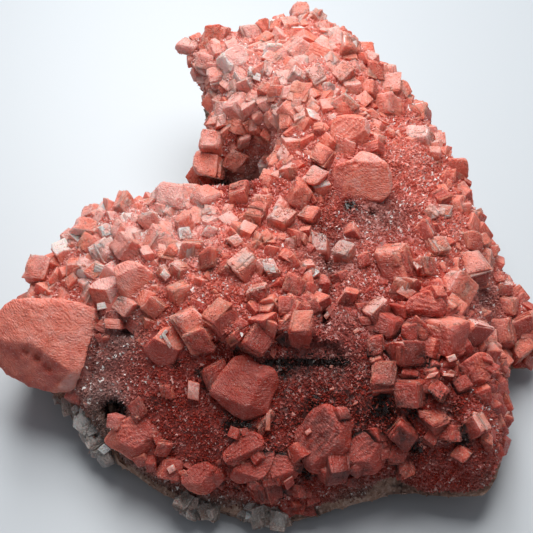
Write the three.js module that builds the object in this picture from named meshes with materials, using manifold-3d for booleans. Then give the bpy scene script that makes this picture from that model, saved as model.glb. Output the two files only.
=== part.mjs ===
// A hand-sized plate of red calcite: a slab of grey-brown host rock, bent round a bay like a letter C, whose top and
// upper sides are buried under one crust of red crystals, and whose bare front edge carries a little paler calcite.
// Millimetres, +Z up. The slab rests on the flat of its underside at z = 0; +X runs to the right and +Y away from
// someone who looks at the display face.
import * as THREE from "three";
import { mergeVertices } from "three/addons/utils/BufferGeometryUtils.js";
import Module from "manifold-3d";

// ---- driving sizes, mm ------------------------------------------------------------------------------------------
const squareSize = 0.3; // one square of the layout sheet, where the sheet crosses the middle of the piece
const sheetCentre = 266.5; // column and row of the sheet's centre
const sightDistance = 430; // from the eye to the middle of the piece
const sightElevation = THREE.MathUtils.degToRad(50); // the display direction, above the table
const middle = new THREE.Vector3(0, 0, 30);

const crustThickness = 3.6; // red crust over the rock
const rimRoll = 9; // width of the band where the top rounds over into its sides
const rockShelf = { bay: -1.5, outer: 1.5 }; // how far the rock stands out past the crust's rim
const roughness = 2.4; // of the rock's bare sides
const lipDrop = 3.5; // straight side of the crust below that rounding
const rhombAngle = THREE.MathUtils.degToRad(101); // between two edges of a calcite rhomb
const edgeShare = 0.72; // a rhomb's edge against its breadth on the sheet
const standOut = 0.12; // how far a rhomb's middle stands out of the crust, against its edge
const leanRange = [0.15, 0.9]; // how far a rhomb's nearest face leans from the eye, radians
const rimReach = 0.35; // how far past the rim a rhomb's middle may lie, against its edge
const seam = 0.5; // gap left between two touching pieces
const sectionCount = 36; // cross-sections along the bend
const crustAcross = 12; // steps across each section of the crust
const rockAcross = 8; // steps across each section of the rock

// ---- the layout sheet -------------------------------------------------------------------------------------------
// Places are given as columns and rows of a squared sheet held square to the display direction, with a height where
// the sight line alone doesn't fix the point.
const sheetRight = new THREE.Vector3(1, 0, 0);
const sheetUp = new THREE.Vector3(0, Math.sin(sightElevation), Math.cos(sightElevation));
const sightLine = new THREE.Vector3(0, Math.cos(sightElevation), -Math.sin(sightElevation));
const eye = middle.clone().addScaledVector(sightLine, -sightDistance);

function sightThrough(column, row) {
  return sightLine
    .clone()
    .multiplyScalar(sightDistance)
    .addScaledVector(sheetRight, (column - sheetCentre) * squareSize)
    .addScaledVector(sheetUp, (sheetCentre - row) * squareSize);
}

function pointAtHeight(column, row, height) {
  const sight = sightThrough(column, row);
  return eye.clone().addScaledVector(sight, (height - eye.z) / sight.z);
}

// ---- plan of the slab -------------------------------------------------------------------------------------------
// Sections run across the bend from the bay side to the outer side: [column, row, height] of each edge, then how far
// the resting face stands in from each edge.
const sections = [
  { bay: [190, 58, 40], outer: [192, 40, 44], inset: [3, 3] },
  { bay: [205, 88, 38], outer: [215, 34, 46], inset: [4, 4] },
  { bay: [216, 112, 36], outer: [262, 33, 47], inset: [6, 7] },
  { bay: [206, 140, 33], outer: [303, 14, 48], inset: [9, 10] },
  { bay: [198, 166, 28], outer: [342, 38, 45], inset: [9, 10] },
  { bay: [205, 186, 24], outer: [375, 68, 42], inset: [8, 10] },
  { bay: [240, 184, 20], outer: [415, 108, 38], inset: [6, 10] },
  { bay: [262, 178, 22], outer: [440, 145, 35], inset: [5, 10] },
  { bay: [272, 180, 26], outer: [462, 178, 33], inset: [5, 10] },
  { bay: [274, 183, 30], outer: [477, 222, 27], inset: [5, 10] },
  { bay: [273, 186, 34], outer: [494, 264, 20], inset: [5, 10] },
  { bay: [271, 188, 36], outer: [531, 308, 17], inset: [5, 12] },
  { bay: [269, 190, 38], outer: [534, 352, 10], inset: [5, 14] },
  { bay: [266, 191, 39], outer: [506, 362, 10], inset: [5, 12] },
  { bay: [262, 192, 40], outer: [503, 402, 12], inset: [5, 12] },
  { bay: [258, 193, 41], outer: [500, 440, 14], inset: [5, 16] },
  { bay: [254, 193, 41], outer: [486, 480, 16], inset: [5, 21] },
  { bay: [249, 193, 42], outer: [438, 483, 13], inset: [6, 18] },
  { bay: [243, 193, 42], outer: [390, 482, 11], inset: [6, 13] },
  { bay: [235, 193, 42], outer: [338, 496, 9], inset: [6, 8] },
  { bay: [224, 193, 42], outer: [286, 508, 8], inset: [7, -1] },
  { bay: [210, 193, 41], outer: [238, 501, 9], inset: [8, 0] },
  { bay: [190, 193, 41], outer: [185, 491, 10], inset: [9, 2] },
  { bay: [165, 196, 40], outer: [140, 467, 12], inset: [10, 4] },
  { bay: [138, 203, 39], outer: [106, 432, 15], inset: [11, 1] },
  { bay: [112, 208, 37], outer: [80, 402, 17], inset: [11, 3] },
  { bay: [90, 217, 35], outer: [48, 376, 18], inset: [10, 12] },
  { bay: [72, 240, 32], outer: [22, 350, 17], inset: [6, 10] },
  { bay: [50, 262, 29], outer: [24, 318, 20], inset: [4, 4] },
  { bay: [38, 276, 27], outer: [30, 296, 24], inset: [2, 2] },
];

// Heights surveyed over the top: [column, row, height].
const spotHeights = [
  [200, 48, 46], [235, 50, 50], [265, 60, 54], [300, 28, 52], [300, 70, 57], [335, 62, 54], [238, 100, 50],
  [280, 112, 55], [330, 110, 57], [370, 92, 50], [400, 112, 45], [212, 140, 36], [290, 150, 54],
  [350, 140, 57], [400, 145, 48], [430, 135, 40], [300, 190, 53], [350, 190, 52], [400, 190, 46], [440, 185, 42],
  [462, 205, 33], [100, 222, 40], [150, 212, 44], [200, 206, 47], [250, 206, 50], [60, 262, 34], [100, 252, 42],
  [150, 250, 46], [200, 250, 49], [250, 250, 52], [300, 240, 51], [42, 290, 29], [90, 300, 37], [140, 300, 42],
  [200, 300, 47], [250, 300, 50], [300, 290, 49], [326, 290, 43], [330, 235, 46], [45, 340, 24], [105, 350, 30],
  [160, 350, 37], [210, 345, 42], [260, 335, 46], [300, 340, 45], [335, 340, 43], [78, 388, 20], [120, 395, 25],
  [170, 400, 30], [220, 405, 32], [262, 405, 32], [300, 390, 32], [350, 390, 32], [395, 368, 38], [130, 440, 19],
  [180, 450, 24], [230, 450, 27], [280, 450, 27], [330, 450, 27], [380, 450, 27], [430, 430, 31], [472, 420, 31],
  [480, 470, 24], [430, 474, 22], [380, 478, 20], [330, 490, 16], [275, 508, 12], [212, 498, 13], [160, 472, 15],
  [360, 240, 46], [400, 240, 46], [440, 240, 43], [466, 250, 36], [350, 290, 44], [390, 290, 46], [430, 290, 45],
  [466, 290, 39], [370, 330, 42], [410, 330, 43], [450, 330, 42], [478, 340, 36], [440, 370, 39], [482, 390, 33],
  [492, 285, 22], [512, 312, 20], [502, 345, 15], [526, 340, 15], [497, 400, 16],
];
const surveyReach = 7; // how far a surveyed height is felt

// Sharp breaks in the top, as lines on the sheet at a given height.
const ledge = { line: [[205, 352], [238, 362], [280, 361], [320, 361], [352, 364]], height: 36, rise: 4.5, fade: 8 };
const furrow = { line: [[322, 205], [330, 250], [326, 300], [322, 352]], height: 44, depth: 3.5, width: 3 };
// Narrow holes that run down into the rock, away from the eye.
const pits = [
  { at: [113, 411], radius: 3.2, depth: 14 },
  { at: [126, 330], radius: 3, depth: 9 },
];

// Rhombs that stand out of the crust, each by the column and row of its middle and its breadth in squares.
const upperLobeRhombs = [
  [190, 47, 26], [217, 37, 30], [208, 62, 24], [235, 62, 30], [218, 78, 22], [250, 35, 22], [292, 30, 18],
  [300, 14, 26], [317, 20, 20], [253, 70, 18], [272, 52, 22], [290, 72, 26], [320, 75, 34], [300, 50, 26],
  [345, 68, 32], [350, 48, 24], [300, 97, 26], [248, 85, 18], [238, 108, 26], [222, 121, 18],
  [272, 118, 18], [290, 122, 22], [345, 107, 26], [352, 88, 22], [370, 92, 22], [388, 107, 26],
  [370, 118, 18], [375, 70, 22], [400, 90, 20], [420, 112, 22], [420, 140, 26], [455, 168, 26],
  [348, 130, 44], [362, 178, 64], [212, 143, 26], [210, 165, 30], [243, 140, 18], [235, 160, 26],
  [200, 184, 22], [268, 165, 20], [284, 155, 18], [325, 158, 24], [315, 178, 24], [300, 195, 30],
];
const leftLobeRhombs = [
  [93, 212, 22], [125, 206, 26], [175, 197, 34], [205, 200, 24], [240, 196, 26], [262, 204, 22],
  [85, 228, 26], [120, 232, 22], [150, 222, 24], [185, 225, 26], [128, 250, 32], [160, 240, 26],
  [65, 252, 26], [42, 272, 32], [104, 251, 24], [75, 268, 22], [130, 278, 40], [108, 290, 30],
  [192, 250, 22], [210, 250, 26], [235, 242, 18], [256, 216, 24], [282, 218, 40], [310, 215, 20],
  [318, 245, 26], [268, 268, 30], [245, 266, 30], [293, 285, 32], [257, 293, 26], [285, 308, 18],
  [302, 330, 30], [258, 338, 40], [222, 320, 30], [190, 322, 30], [179, 293, 20], [155, 308, 24],
  [168, 345, 34], [198, 342, 30], [188, 392, 20], [215, 375, 26], [245, 390, 62], [325, 438, 52],
  [367, 455, 36], [205, 478, 34], [240, 445, 26], [250, 465, 32], [282, 462, 26], [268, 490, 26],
  [135, 435, 40], [139, 408, 20], [165, 448, 18], [170, 467, 22], [48, 343, 95],
];
const rightLobeRhombs = [
  [345, 255, 22], [352, 232, 18], [395, 262, 38], [365, 262, 18], [349, 297, 20], [422, 268, 20],
  [435, 250, 22], [424, 233, 24], [445, 215, 18], [440, 200, 20], [468, 243, 26], [470, 270, 32],
  [455, 290, 30], [372, 305, 28], [405, 290, 26], [425, 305, 36], [410, 330, 20], [390, 325, 24],
  [375, 345, 20], [405, 354, 34], [445, 335, 36], [473, 332, 28], [385, 380, 30], [412, 392, 28],
  [437, 382, 26], [460, 387, 20], [470, 365, 34], [435, 420, 36], [405, 430, 30], [450, 432, 20],
  [475, 425, 30], [404, 468, 22], [500, 335, 30], [523, 325, 28], [508, 305, 20], [520, 350, 24],
  [503, 288, 18],
];
// Pale rhombs of an earlier growth on the bare sides of the rock, the fourth value their height.
const paleLeftRhombs = [
  [66, 396, 24, 10], [75, 405, 26, 11], [85, 417, 26, 11], [91, 430, 26, 9], [99, 443, 24, 8], [109, 455, 24, 7],
];
const paleFrontRhombs = [
  [184, 503, 22, 6.5], [194, 509, 26, 6], [210, 510, 20, 5.5],
];
const paleBaseRhombs = [
  [250, 511, 24, 6], [264, 516, 28, 6], [280, 518, 22, 5.5],
];

const flat = (column, row, height) => {
  const p = pointAtHeight(column, row, height);
  return new THREE.Vector2(p.x, p.y);
};
const bayEdge = new THREE.CatmullRomCurve3(
  sections.map((s) => pointAtHeight(...s.bay)), false, "catmullrom", 0.5);
const outerEdge = new THREE.CatmullRomCurve3(
  sections.map((s) => pointAtHeight(...s.outer)), false, "catmullrom", 0.5);
const surveyed = spotHeights.map(([column, row, height]) => ({ at: flat(column, row, height), height }));
const ledgeLine = ledge.line.map(([column, row]) => flat(column, row, ledge.height));
const furrowLine = furrow.line.map(([column, row]) => flat(column, row, furrow.height));
const rim = [...bayEdge.getPoints(sectionCount), ...outerEdge.getPoints(sectionCount).reverse()];
const outline = rim.map((p) => new THREE.Vector2(p.x, p.y));

// Distance from a point to a run of straight pieces, the side it lies on, positive to the left of the run, and how
// far along the run that is, 0 to 1.
function sideDistance(point, line, closed = false) {
  let best = Infinity;
  let side = 1;
  let along = 0;
  const last = closed ? line.length : line.length - 1;
  for (let i = 0; i < last; i++) {
    const a = line[i];
    const ab = line[(i + 1) % line.length].clone().sub(a);
    const ap = point.clone().sub(a);
    const t = Math.min(1, Math.max(0, ap.dot(ab) / ab.lengthSq()));
    const gap = ap.clone().addScaledVector(ab, -t).length();
    if (gap < best) {
      best = gap;
      side = ab.cross(ap) >= 0 ? 1 : -1;
      along = (i + t) / last;
    }
  }
  return { gap: best, side, along };
}

function insideOutline(point) {
  let inside = false;
  for (let i = 0, j = outline.length - 1; i < outline.length; j = i++) {
    const a = outline[i];
    const b = outline[j];
    if (a.y > point.y !== b.y > point.y && point.x < ((b.x - a.x) * (point.y - a.y)) / (b.y - a.y) + a.x)
      inside = !inside;
  }
  return inside;
}

// A number between 0 and 1 that is always the same for the same n.
const chance = (n) => THREE.MathUtils.euclideanModulo(Math.sin(n * 12.9898) * 43758.5453, 1);

const smooth = (t) => THREE.MathUtils.smoothstep(t, 0, 1);

function rimHeight(along) {
  const place = along * rim.length;
  const near = Math.floor(place) % rim.length;
  return THREE.MathUtils.lerp(rim[near].z, rim[(near + 1) % rim.length].z, place - Math.floor(place));
}

// Height of the crust's top over a point of the plan. Near the rim it rounds over, down to the rim's own height.
function topHeight(x, y) {
  const point = new THREE.Vector2(x, y);
  let weights = 0;
  let height = 0;
  for (const spot of surveyed) {
    const weight = Math.exp(-spot.at.distanceToSquared(point) / (2 * surveyReach ** 2)) + 1e-9;
    weights += weight;
    height += weight * spot.height;
  }
  height /= weights;
  const step = sideDistance(point, ledgeLine);
  const reach = smooth(step.along * 6) * smooth((1 - step.along) * 6);
  height += ledge.rise * reach * step.side * smooth(step.gap / 1.5) * Math.exp(-step.gap / ledge.fade);
  const groove = sideDistance(point, furrowLine);
  height -= furrow.depth * smooth((1 - groove.along) * 5) * Math.exp(-((groove.gap / furrow.width) ** 2));
  const edge = sideDistance(point, outline, true);
  const roll = insideOutline(point) ? Math.max(0, 1 - edge.gap / rimRoll) : 1;
  return THREE.MathUtils.lerp(height, rimHeight(edge.along), 1 - Math.sqrt(1 - roll ** 2));
}

// Height of the surface that lies a given depth below the top, measured square to the slope.
function heightBelow(x, y, depth) {
  let least = topHeight(x, y) - depth;
  for (const share of [0.5, 0.87])
    for (let i = 0; i < 8; i++) {
      const turn = (Math.PI * i) / 4;
      const reach = depth * share;
      const height = topHeight(x + reach * Math.cos(turn), y + reach * Math.sin(turn));
      least = Math.min(least, height - depth * Math.sqrt(1 - share ** 2));
    }
  return least;
}

// ---- lofts ------------------------------------------------------------------------------------------------------
// A closed solid through a row of loops that all have the same number of points, with a fan over each end.
function loft(loops) {
  const size = loops[0].length;
  const points = loops.flat();
  const faces = [];
  for (let k = 0; k + 1 < loops.length; k++)
    for (let i = 0; i < size; i++) {
      const a = k * size + i;
      const b = k * size + ((i + 1) % size);
      faces.push(a, b + size, b, a, a + size, b + size);
    }
  for (const [first, turned] of [[0, true], [(loops.length - 1) * size, false]]) {
    const centre = points.length;
    const ring = points.slice(first, first + size);
    points.push(ring.reduce((sum, p) => sum.add(p), new THREE.Vector3()).divideScalar(size));
    for (let i = 0; i < size; i++) {
      const a = first + i;
      const b = first + ((i + 1) % size);
      faces.push(...(turned ? [a, b, centre] : [b, a, centre]));
    }
  }
  return new THREE.BufferGeometry().setFromPoints(points).setIndex(faces);
}

// One section of the slab: its two edges, and points at a share of the way across from the bay side.
function sectionAt(t) {
  const bay = bayEdge.getPoint(t);
  const outer = outerEdge.getPoint(t);
  const length = Math.hypot(outer.x - bay.x, outer.y - bay.y);
  const place = t * (sections.length - 1);
  const near = Math.min(sections.length - 2, Math.floor(place));
  const [bayInset, outerInset] = [0, 1].map((side) => {
    const inset = THREE.MathUtils.lerp(sections[near].inset[side], sections[near + 1].inset[side], place - near);
    return Math.min(length / 3, inset);
  });
  const across = (share, height) => bay.clone().lerp(outer, share).setZ(height);
  return { bay, outer, length, across, bayInset, outerInset };
}

// Shares of the way across, closer together towards both rims.
const sharesOf = (count) => Array.from({ length: count + 1 }, (_, i) =>
  THREE.MathUtils.lerp(i / count, 0.5 - 0.5 * Math.cos((Math.PI * i) / count), 0.7));
const stations = Array.from({ length: sectionCount + 1 }, (_, i) => i / sectionCount);

// The crust before the rock is taken out of it: the top, its sides, and a hidden underside within the rock.
function crustLoop(t) {
  const section = sectionAt(t);
  const shares = sharesOf(crustAcross);
  const top = shares.map((s) => {
    const p = section.across(s, 0);
    return p.setZ(topHeight(p.x, p.y));
  });
  const tuck = Math.min(0.3, (crustThickness + 2) / section.length);
  const under = shares.map((s) => {
    const p = section.across(tuck + s * (1 - 2 * tuck), 0);
    return p.setZ(heightBelow(p.x, p.y, crustThickness + 3));
  });
  const first = top[0].clone().setZ(top[0].z - lipDrop);
  const last = top.at(-1).clone().setZ(top.at(-1).z - lipDrop);
  return [first, ...top, last, ...under.reverse()];
}

// The host rock: flat below, widest at a rough shelf just under the crust's lip.
function rockLoop(t, station) {
  const section = sectionAt(t);
  const side = Math.min(0.3, crustThickness / section.length);
  const top = sharesOf(rockAcross).map((s) => {
    const p = section.across(side + s * (1 - 2 * side), 0);
    return p.setZ(heightBelow(p.x, p.y, crustThickness));
  });
  const wall = (rimPoint, outward, shelf, inset, seed) => {
    const rough = (n) => roughness * (chance(station + seed + n) - 0.5);
    const lip = rimPoint.clone().addScaledVector(outward, shelf + rough(0.1));
    lip.setZ(Math.max(4, rimPoint.z - lipDrop - 1 + rough(0.2)));
    const foot = rimPoint.clone().addScaledVector(outward, -inset).setZ(0);
    const belly = lip.clone().lerp(foot, 0.5).addScaledVector(outward, rough(0.3));
    return [foot, belly, lip];
  };
  const outward = section.across(1, 0).sub(section.across(0, 0)).normalize(); // from the bay side to the outer side
  return [
    ...wall(section.bay, outward.clone().negate(), rockShelf.bay, section.bayInset, 0.4),
    ...top,
    ...wall(section.outer, outward, rockShelf.outer, section.outerInset, 0.8).reverse(),
  ];
}

// Every point of a closed form pushed out along its own normal.
function grown(form, distance) {
  const wider = form.clone();
  wider.computeVertexNormals();
  const { position, normal } = wider.attributes;
  for (let i = 0; i < position.count; i++)
    position.setXYZ(
      i,
      position.getX(i) + normal.getX(i) * distance,
      position.getY(i) + normal.getY(i) * distance,
      position.getZ(i) + normal.getZ(i) * distance);
  return wider;
}

const crustForm = loft(stations.map(crustLoop));
const rockForm = loft(stations.slice(1, -1).map(rockLoop)); // stops short of each end, where the crust closes over it

// ---- rhombs -----------------------------------------------------------------------------------------------------
// Where the sight line through a square meets the crust. One that misses it is met beside the rim, within reach.
function seatOf(column, row, reach) {
  let nearest = null;
  for (let height = 64; height > 2; height -= 0.5) {
    const point = pointAtHeight(column, row, height);
    const plan = new THREE.Vector2(point.x, point.y);
    if (insideOutline(plan) && point.z <= topHeight(point.x, point.y)) return point;
    const { along } = sideDistance(plan, outline, true);
    const place = along * rim.length;
    const edge = rim[Math.floor(place) % rim.length]
      .clone()
      .lerp(rim[Math.ceil(place) % rim.length], place - Math.floor(place));
    if (!nearest || edge.distanceTo(point) < nearest.edge.distanceTo(nearest.point)) nearest = { point, edge };
  }
  const away = nearest.point.sub(nearest.edge);
  return nearest.edge.add(away.clampLength(0, reach));
}

// A closed rhomb: one face square to a normal that leans from the eye, its short diagonal turned by spin.
function rhomb(centre, edge, lean, toward, spin) {
  const half = rhombAngle / 2;
  const tilt = Math.cos(rhombAngle) / Math.cos(half);
  const shape = new THREE.Matrix4().makeBasis(
    new THREE.Vector3(Math.cos(half), -Math.sin(half), 0),
    new THREE.Vector3(Math.cos(half), Math.sin(half), 0),
    new THREE.Vector3(tilt, 0, Math.sqrt(1 - tilt ** 2)));
  const view = new THREE.Matrix4().makeBasis(sheetRight, sheetUp, sightLine.clone().negate());
  const turn = new THREE.Matrix4()
    .makeRotationZ(toward)
    .multiply(new THREE.Matrix4().makeRotationY(lean))
    .multiply(new THREE.Matrix4().makeRotationZ(spin));
  return new THREE.BoxGeometry(edge, edge, edge)
    .applyMatrix4(view.multiply(turn).multiply(shape))
    .translate(centre.x, centre.y, centre.z);
}

// A pointed hole, its mouth just proud of the crust.
function pitForm({ at, radius, depth }) {
  const mouth = seatOf(...at, 0);
  return new THREE.ConeGeometry(radius, depth * 1.3, 9)
    .applyQuaternion(new THREE.Quaternion().setFromUnitVectors(new THREE.Vector3(0, 1, 0), sightLine))
    .translate(...mouth.addScaledVector(sightLine, depth * 0.35));
}

// A rhomb turned its own way by its number in the list.
function turnedRhomb(centre, edge, index) {
  const lean = THREE.MathUtils.lerp(...leanRange, chance(index + 0.3));
  return rhomb(centre, edge, lean, 2 * Math.PI * chance(index + 0.5), 2 * Math.PI * chance(index + 0.7));
}

// A rhomb of the crust, standing out of it towards the eye.
function seatedRhomb([column, row, width], index) {
  const edge = width * squareSize * edgeShare;
  const centre = seatOf(column, row, edge * rimReach).addScaledVector(sightLine, -standOut * edge);
  return turnedRhomb(centre, edge, index);
}

// A rhomb on the rock's bare side, its height given.
function paleRhomb([column, row, width, height], index) {
  return turnedRhomb(pointAtHeight(column, row, height), width * squareSize * edgeShare, index);
}

// ---- solids -----------------------------------------------------------------------------------------------------
const wasm = await Module();
wasm.setup();

function solid(geometry) {
  const bare = new THREE.BufferGeometry()
    .setAttribute("position", geometry.getAttribute("position"))
    .setIndex(geometry.index);
  const merged = mergeVertices(bare, 1e-4);
  return new wasm.Manifold(new wasm.Mesh({
    numProp: 3,
    vertProperties: new Float32Array(merged.attributes.position.array),
    triVerts: new Uint32Array(merged.index.array),
  }));
}

const joined = (solids) => solids.reduce((whole, piece) => whole.add(piece));
const cutBy = (whole, cuts) => cuts.reduce((left, cut) => left.subtract(cut), whole);

const holes = pits.map((pit) => solid(pitForm(pit)));
const rock = cutBy(solid(rockForm), holes);
const rockSeat = solid(grown(rockForm, seam));
const rhombs = [...upperLobeRhombs, ...leftLobeRhombs, ...rightLobeRhombs].map((line, i) =>
  solid(seatedRhomb(line, i)));
const crust = cutBy(joined([solid(crustForm), ...rhombs]), [rockSeat, rock, ...holes]);
const crustSeat = solid(grown(crustForm, seam));
const paleCluster = (lines) =>
  cutBy(joined(lines.map((line, i) => solid(paleRhomb(line, i)))), [rockSeat, crustSeat, crust]);

function meshOf(form, name, colour, roughness) {
  const made = form.getMesh();
  const geometry = new THREE.BufferGeometry()
    .setAttribute("position", new THREE.BufferAttribute(made.vertProperties, 3))
    .setIndex(new THREE.BufferAttribute(made.triVerts, 1));
  const mesh = new THREE.Mesh(geometry, new THREE.MeshStandardMaterial({ color: colour, roughness, metalness: 0 }));
  mesh.name = name;
  return mesh;
}

const part = new THREE.Group();
part.add(meshOf(rock, "host_rock", 0x6f5d50, 0.9));
part.add(meshOf(crust, "red_calcite_crust", 0xb4554a, 0.5));
part.add(meshOf(paleCluster(paleLeftRhombs), "pale_calcite_left", 0xd9d2cc, 0.4));
part.add(meshOf(paleCluster(paleFrontRhombs), "pale_calcite_front", 0xd9d2cc, 0.4));
part.add(meshOf(paleCluster(paleBaseRhombs), "pale_calcite_base", 0xd9d2cc, 0.4));
export default part;
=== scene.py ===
import math

import bpy
import numpy as np
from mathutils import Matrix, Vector


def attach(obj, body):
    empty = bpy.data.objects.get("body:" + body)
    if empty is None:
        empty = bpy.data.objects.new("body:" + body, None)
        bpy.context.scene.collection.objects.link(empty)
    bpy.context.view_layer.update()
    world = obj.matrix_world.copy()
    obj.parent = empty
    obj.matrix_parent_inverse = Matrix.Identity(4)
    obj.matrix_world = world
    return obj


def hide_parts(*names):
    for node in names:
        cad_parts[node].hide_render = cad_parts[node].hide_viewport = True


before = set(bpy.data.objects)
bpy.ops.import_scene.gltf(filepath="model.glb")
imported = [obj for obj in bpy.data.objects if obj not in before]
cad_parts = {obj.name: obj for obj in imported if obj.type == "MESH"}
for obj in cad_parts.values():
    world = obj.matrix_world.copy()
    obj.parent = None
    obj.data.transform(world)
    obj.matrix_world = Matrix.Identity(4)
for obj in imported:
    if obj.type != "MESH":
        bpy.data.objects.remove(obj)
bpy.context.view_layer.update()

mm = 0.001  # every length below is in millimetres until a mesh is made
print("frame loaded:", ", ".join(sorted(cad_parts)))

# layout sheet: columns and rows of a squared sheet held square to the display direction
sheet = {
    "square": 0.3,        # mm, where the sheet crosses the middle of the piece
    "centre": 266.5,      # column and row of its centre
    "across": 533,        # squares seen from side to side
    "distance": 430.0,    # from the eye to the middle of the piece
    "elevation": 50.0,    # degrees above the table
    "middle": (0.0, 0.0, 30.0),
}
climb = math.radians(sheet["elevation"])
sheetRight = np.array([1.0, 0.0, 0.0])
sheetUp = np.array([0.0, math.sin(climb), math.cos(climb)])
toEye = np.array([0.0, -math.cos(climb), math.sin(climb)])
eye = np.array(sheet["middle"]) + toEye * sheet["distance"]


def pointAtHeight(columns, rows, heights):
    # where the sight line through each square crosses a height:
    # eye + sight * (height - the eye's height) / the sight's own rise
    c, r, h = np.broadcast_arrays(np.asarray(columns, float), rows, heights)
    sight = ((c - sheet["centre"]) * sheet["square"])[..., None] * sheetRight
    sight = sight + ((sheet["centre"] - r) * sheet["square"])[..., None] * sheetUp
    sight = sight - toEye * sheet["distance"]
    return eye + sight * ((h - eye[2]) / sight[..., 2])[..., None]


def chance(n):
    # what is left of 43758.5453 sin(12.9898 n) after its whole part: always the same for the same n
    x = np.sin(np.asarray(n, float) * 12.9898) * 43758.5453
    return x - np.floor(x)


def lerp(a, b, t):
    # the share t of the way from a to b
    return a + (b - a) * t


def smooth(t):
    # 3t^2 - 2t^3 from 0 to 1, level beyond them
    t = np.clip(t, 0.0, 1.0)
    return t * t * (3.0 - 2.0 * t)


def unit(v):
    # each vector over its own length
    return v / np.maximum(np.linalg.norm(v, axis=-1, keepdims=True), 1e-9)


# plan of the slab, one section after another: column, row and height of its bay edge, the same of its outer
# edge, and how far the foot stands in under each
sections = [
    (190, 58, 40, 192, 40, 44, 3, 3), (205, 88, 38, 215, 34, 46, 4, 4), (216, 112, 36, 262, 33, 47, 6, 7),
    (206, 140, 33, 303, 14, 48, 9, 10), (198, 166, 28, 342, 38, 45, 9, 10),
    (205, 186, 24, 375, 68, 42, 8, 10), (240, 184, 20, 415, 108, 38, 6, 10),
    (262, 178, 22, 440, 145, 35, 5, 10), (272, 180, 26, 462, 178, 33, 5, 10),
    (274, 183, 30, 477, 222, 27, 5, 10), (273, 186, 34, 494, 264, 20, 5, 10),
    (271, 188, 36, 531, 308, 17, 5, 12), (269, 190, 38, 534, 352, 10, 5, 14),
    (266, 191, 39, 506, 362, 10, 5, 12), (262, 192, 40, 503, 402, 12, 5, 12),
    (258, 193, 41, 500, 440, 14, 5, 16), (254, 193, 41, 486, 480, 16, 5, 21),
    (249, 193, 42, 438, 483, 13, 6, 18), (243, 193, 42, 390, 482, 11, 6, 13),
    (235, 193, 42, 338, 496, 9, 6, 8), (224, 193, 42, 286, 508, 8, 7, -1),
    (210, 193, 41, 238, 501, 9, 8, 0), (190, 193, 41, 185, 491, 10, 9, 2),
    (165, 196, 40, 140, 467, 12, 10, 4), (138, 203, 39, 106, 432, 15, 11, 1),
    (112, 208, 37, 80, 402, 17, 11, 3), (90, 217, 35, 48, 376, 18, 10, 12),
    (72, 240, 32, 22, 350, 17, 6, 10), (50, 262, 29, 24, 318, 20, 4, 4), (38, 276, 27, 30, 296, 24, 2, 2),
]

# heights surveyed over the top: column, row, height in mm
spotHeights = [
    (200, 48, 46), (235, 50, 50), (265, 60, 54), (300, 28, 52), (300, 70, 57), (335, 62, 54),
    (238, 100, 50), (280, 112, 55), (330, 110, 57), (370, 92, 50), (400, 112, 45), (212, 140, 36),
    (290, 150, 54), (350, 140, 57), (400, 145, 48), (430, 135, 40), (300, 190, 53), (350, 190, 52),
    (400, 190, 46), (440, 185, 42), (462, 205, 33), (100, 222, 40), (150, 212, 44), (200, 206, 47),
    (250, 206, 50), (60, 262, 34), (100, 252, 42), (150, 250, 46), (200, 250, 49), (250, 250, 52),
    (300, 240, 51), (42, 290, 29), (90, 300, 37), (140, 300, 42), (200, 300, 47), (250, 300, 50),
    (300, 290, 49), (326, 290, 43), (330, 235, 46), (45, 340, 24), (105, 350, 30), (160, 350, 37),
    (210, 345, 42), (260, 335, 46), (300, 340, 45), (335, 340, 43), (78, 388, 20), (120, 395, 25),
    (170, 400, 30), (220, 405, 32), (262, 405, 32), (300, 390, 32), (350, 390, 32), (395, 368, 38),
    (130, 440, 19), (180, 450, 24), (230, 450, 27), (280, 450, 27), (330, 450, 27), (380, 450, 27),
    (430, 430, 31), (472, 420, 31), (480, 470, 24), (430, 474, 22), (380, 478, 20), (330, 490, 16),
    (275, 508, 12), (212, 498, 13), (160, 472, 15), (360, 240, 46), (400, 240, 46), (440, 240, 43),
    (466, 250, 36), (350, 290, 44), (390, 290, 46), (430, 290, 45), (466, 290, 39), (370, 330, 42),
    (410, 330, 43), (450, 330, 42), (478, 340, 36), (440, 370, 39), (482, 390, 33), (492, 285, 22),
    (512, 312, 20), (502, 345, 15), (526, 340, 15), (497, 400, 16),
]

form = {
    "rimSteps": 36,       # straight pieces along each rim
    "rimRoll": 9.0,       # width of the band where the top rounds over, mm
    "surveyReach": 7.0,   # how far a surveyed height is felt
    "lipDrop": 3.5,       # side of the crust under that rounding
    "thickness": 3.6,     # of the crust over the rock
    "tuckMost": 0.3,      # share of the breadth that a hidden surface stands in by, at most
    "seatHeights": (64.0, 2.0, -0.5),  # heights tried down a sight line, and the step between them
    "ledge": [(205, 352), (238, 362), (280, 361), (320, 361), (352, 364)],
    "ledgeHeight": 36.0, "ledgeRise": 4.5, "ledgeStep": 1.5, "ledgeFade": 8.0,
    "ledgeEnds": 6.0,     # it comes in over a sixth of its line at either end
    "furrow": [(322, 205), (330, 250), (326, 300), (322, 352)],
    "furrowHeight": 44.0, "furrowDepth": 3.5, "furrowWidth": 3.0,
    "furrowEnd": 5.0,     # it runs out over the last fifth
}


def catmullRom(knots, shares):
    # a smooth curve through its knots: each span leaves them along half the step between their neighbours
    padded = np.vstack([2 * knots[0] - knots[1], knots, 2 * knots[-1] - knots[-2]])
    place = np.clip(shares, 0.0, 1.0) * (len(knots) - 1)
    span = np.minimum(place.astype(int), len(knots) - 2)
    u = (place - span)[:, None]
    p0, p1, p2, p3 = (padded[span + k] for k in range(4))
    curve = p1 + 0.5 * u * (p2 - p0) + u ** 2 * (p0 - 2.5 * p1 + 2.0 * p2 - 0.5 * p3)
    return curve + u ** 3 * (1.5 * (p1 - p2) + 0.5 * (p3 - p0))


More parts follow.
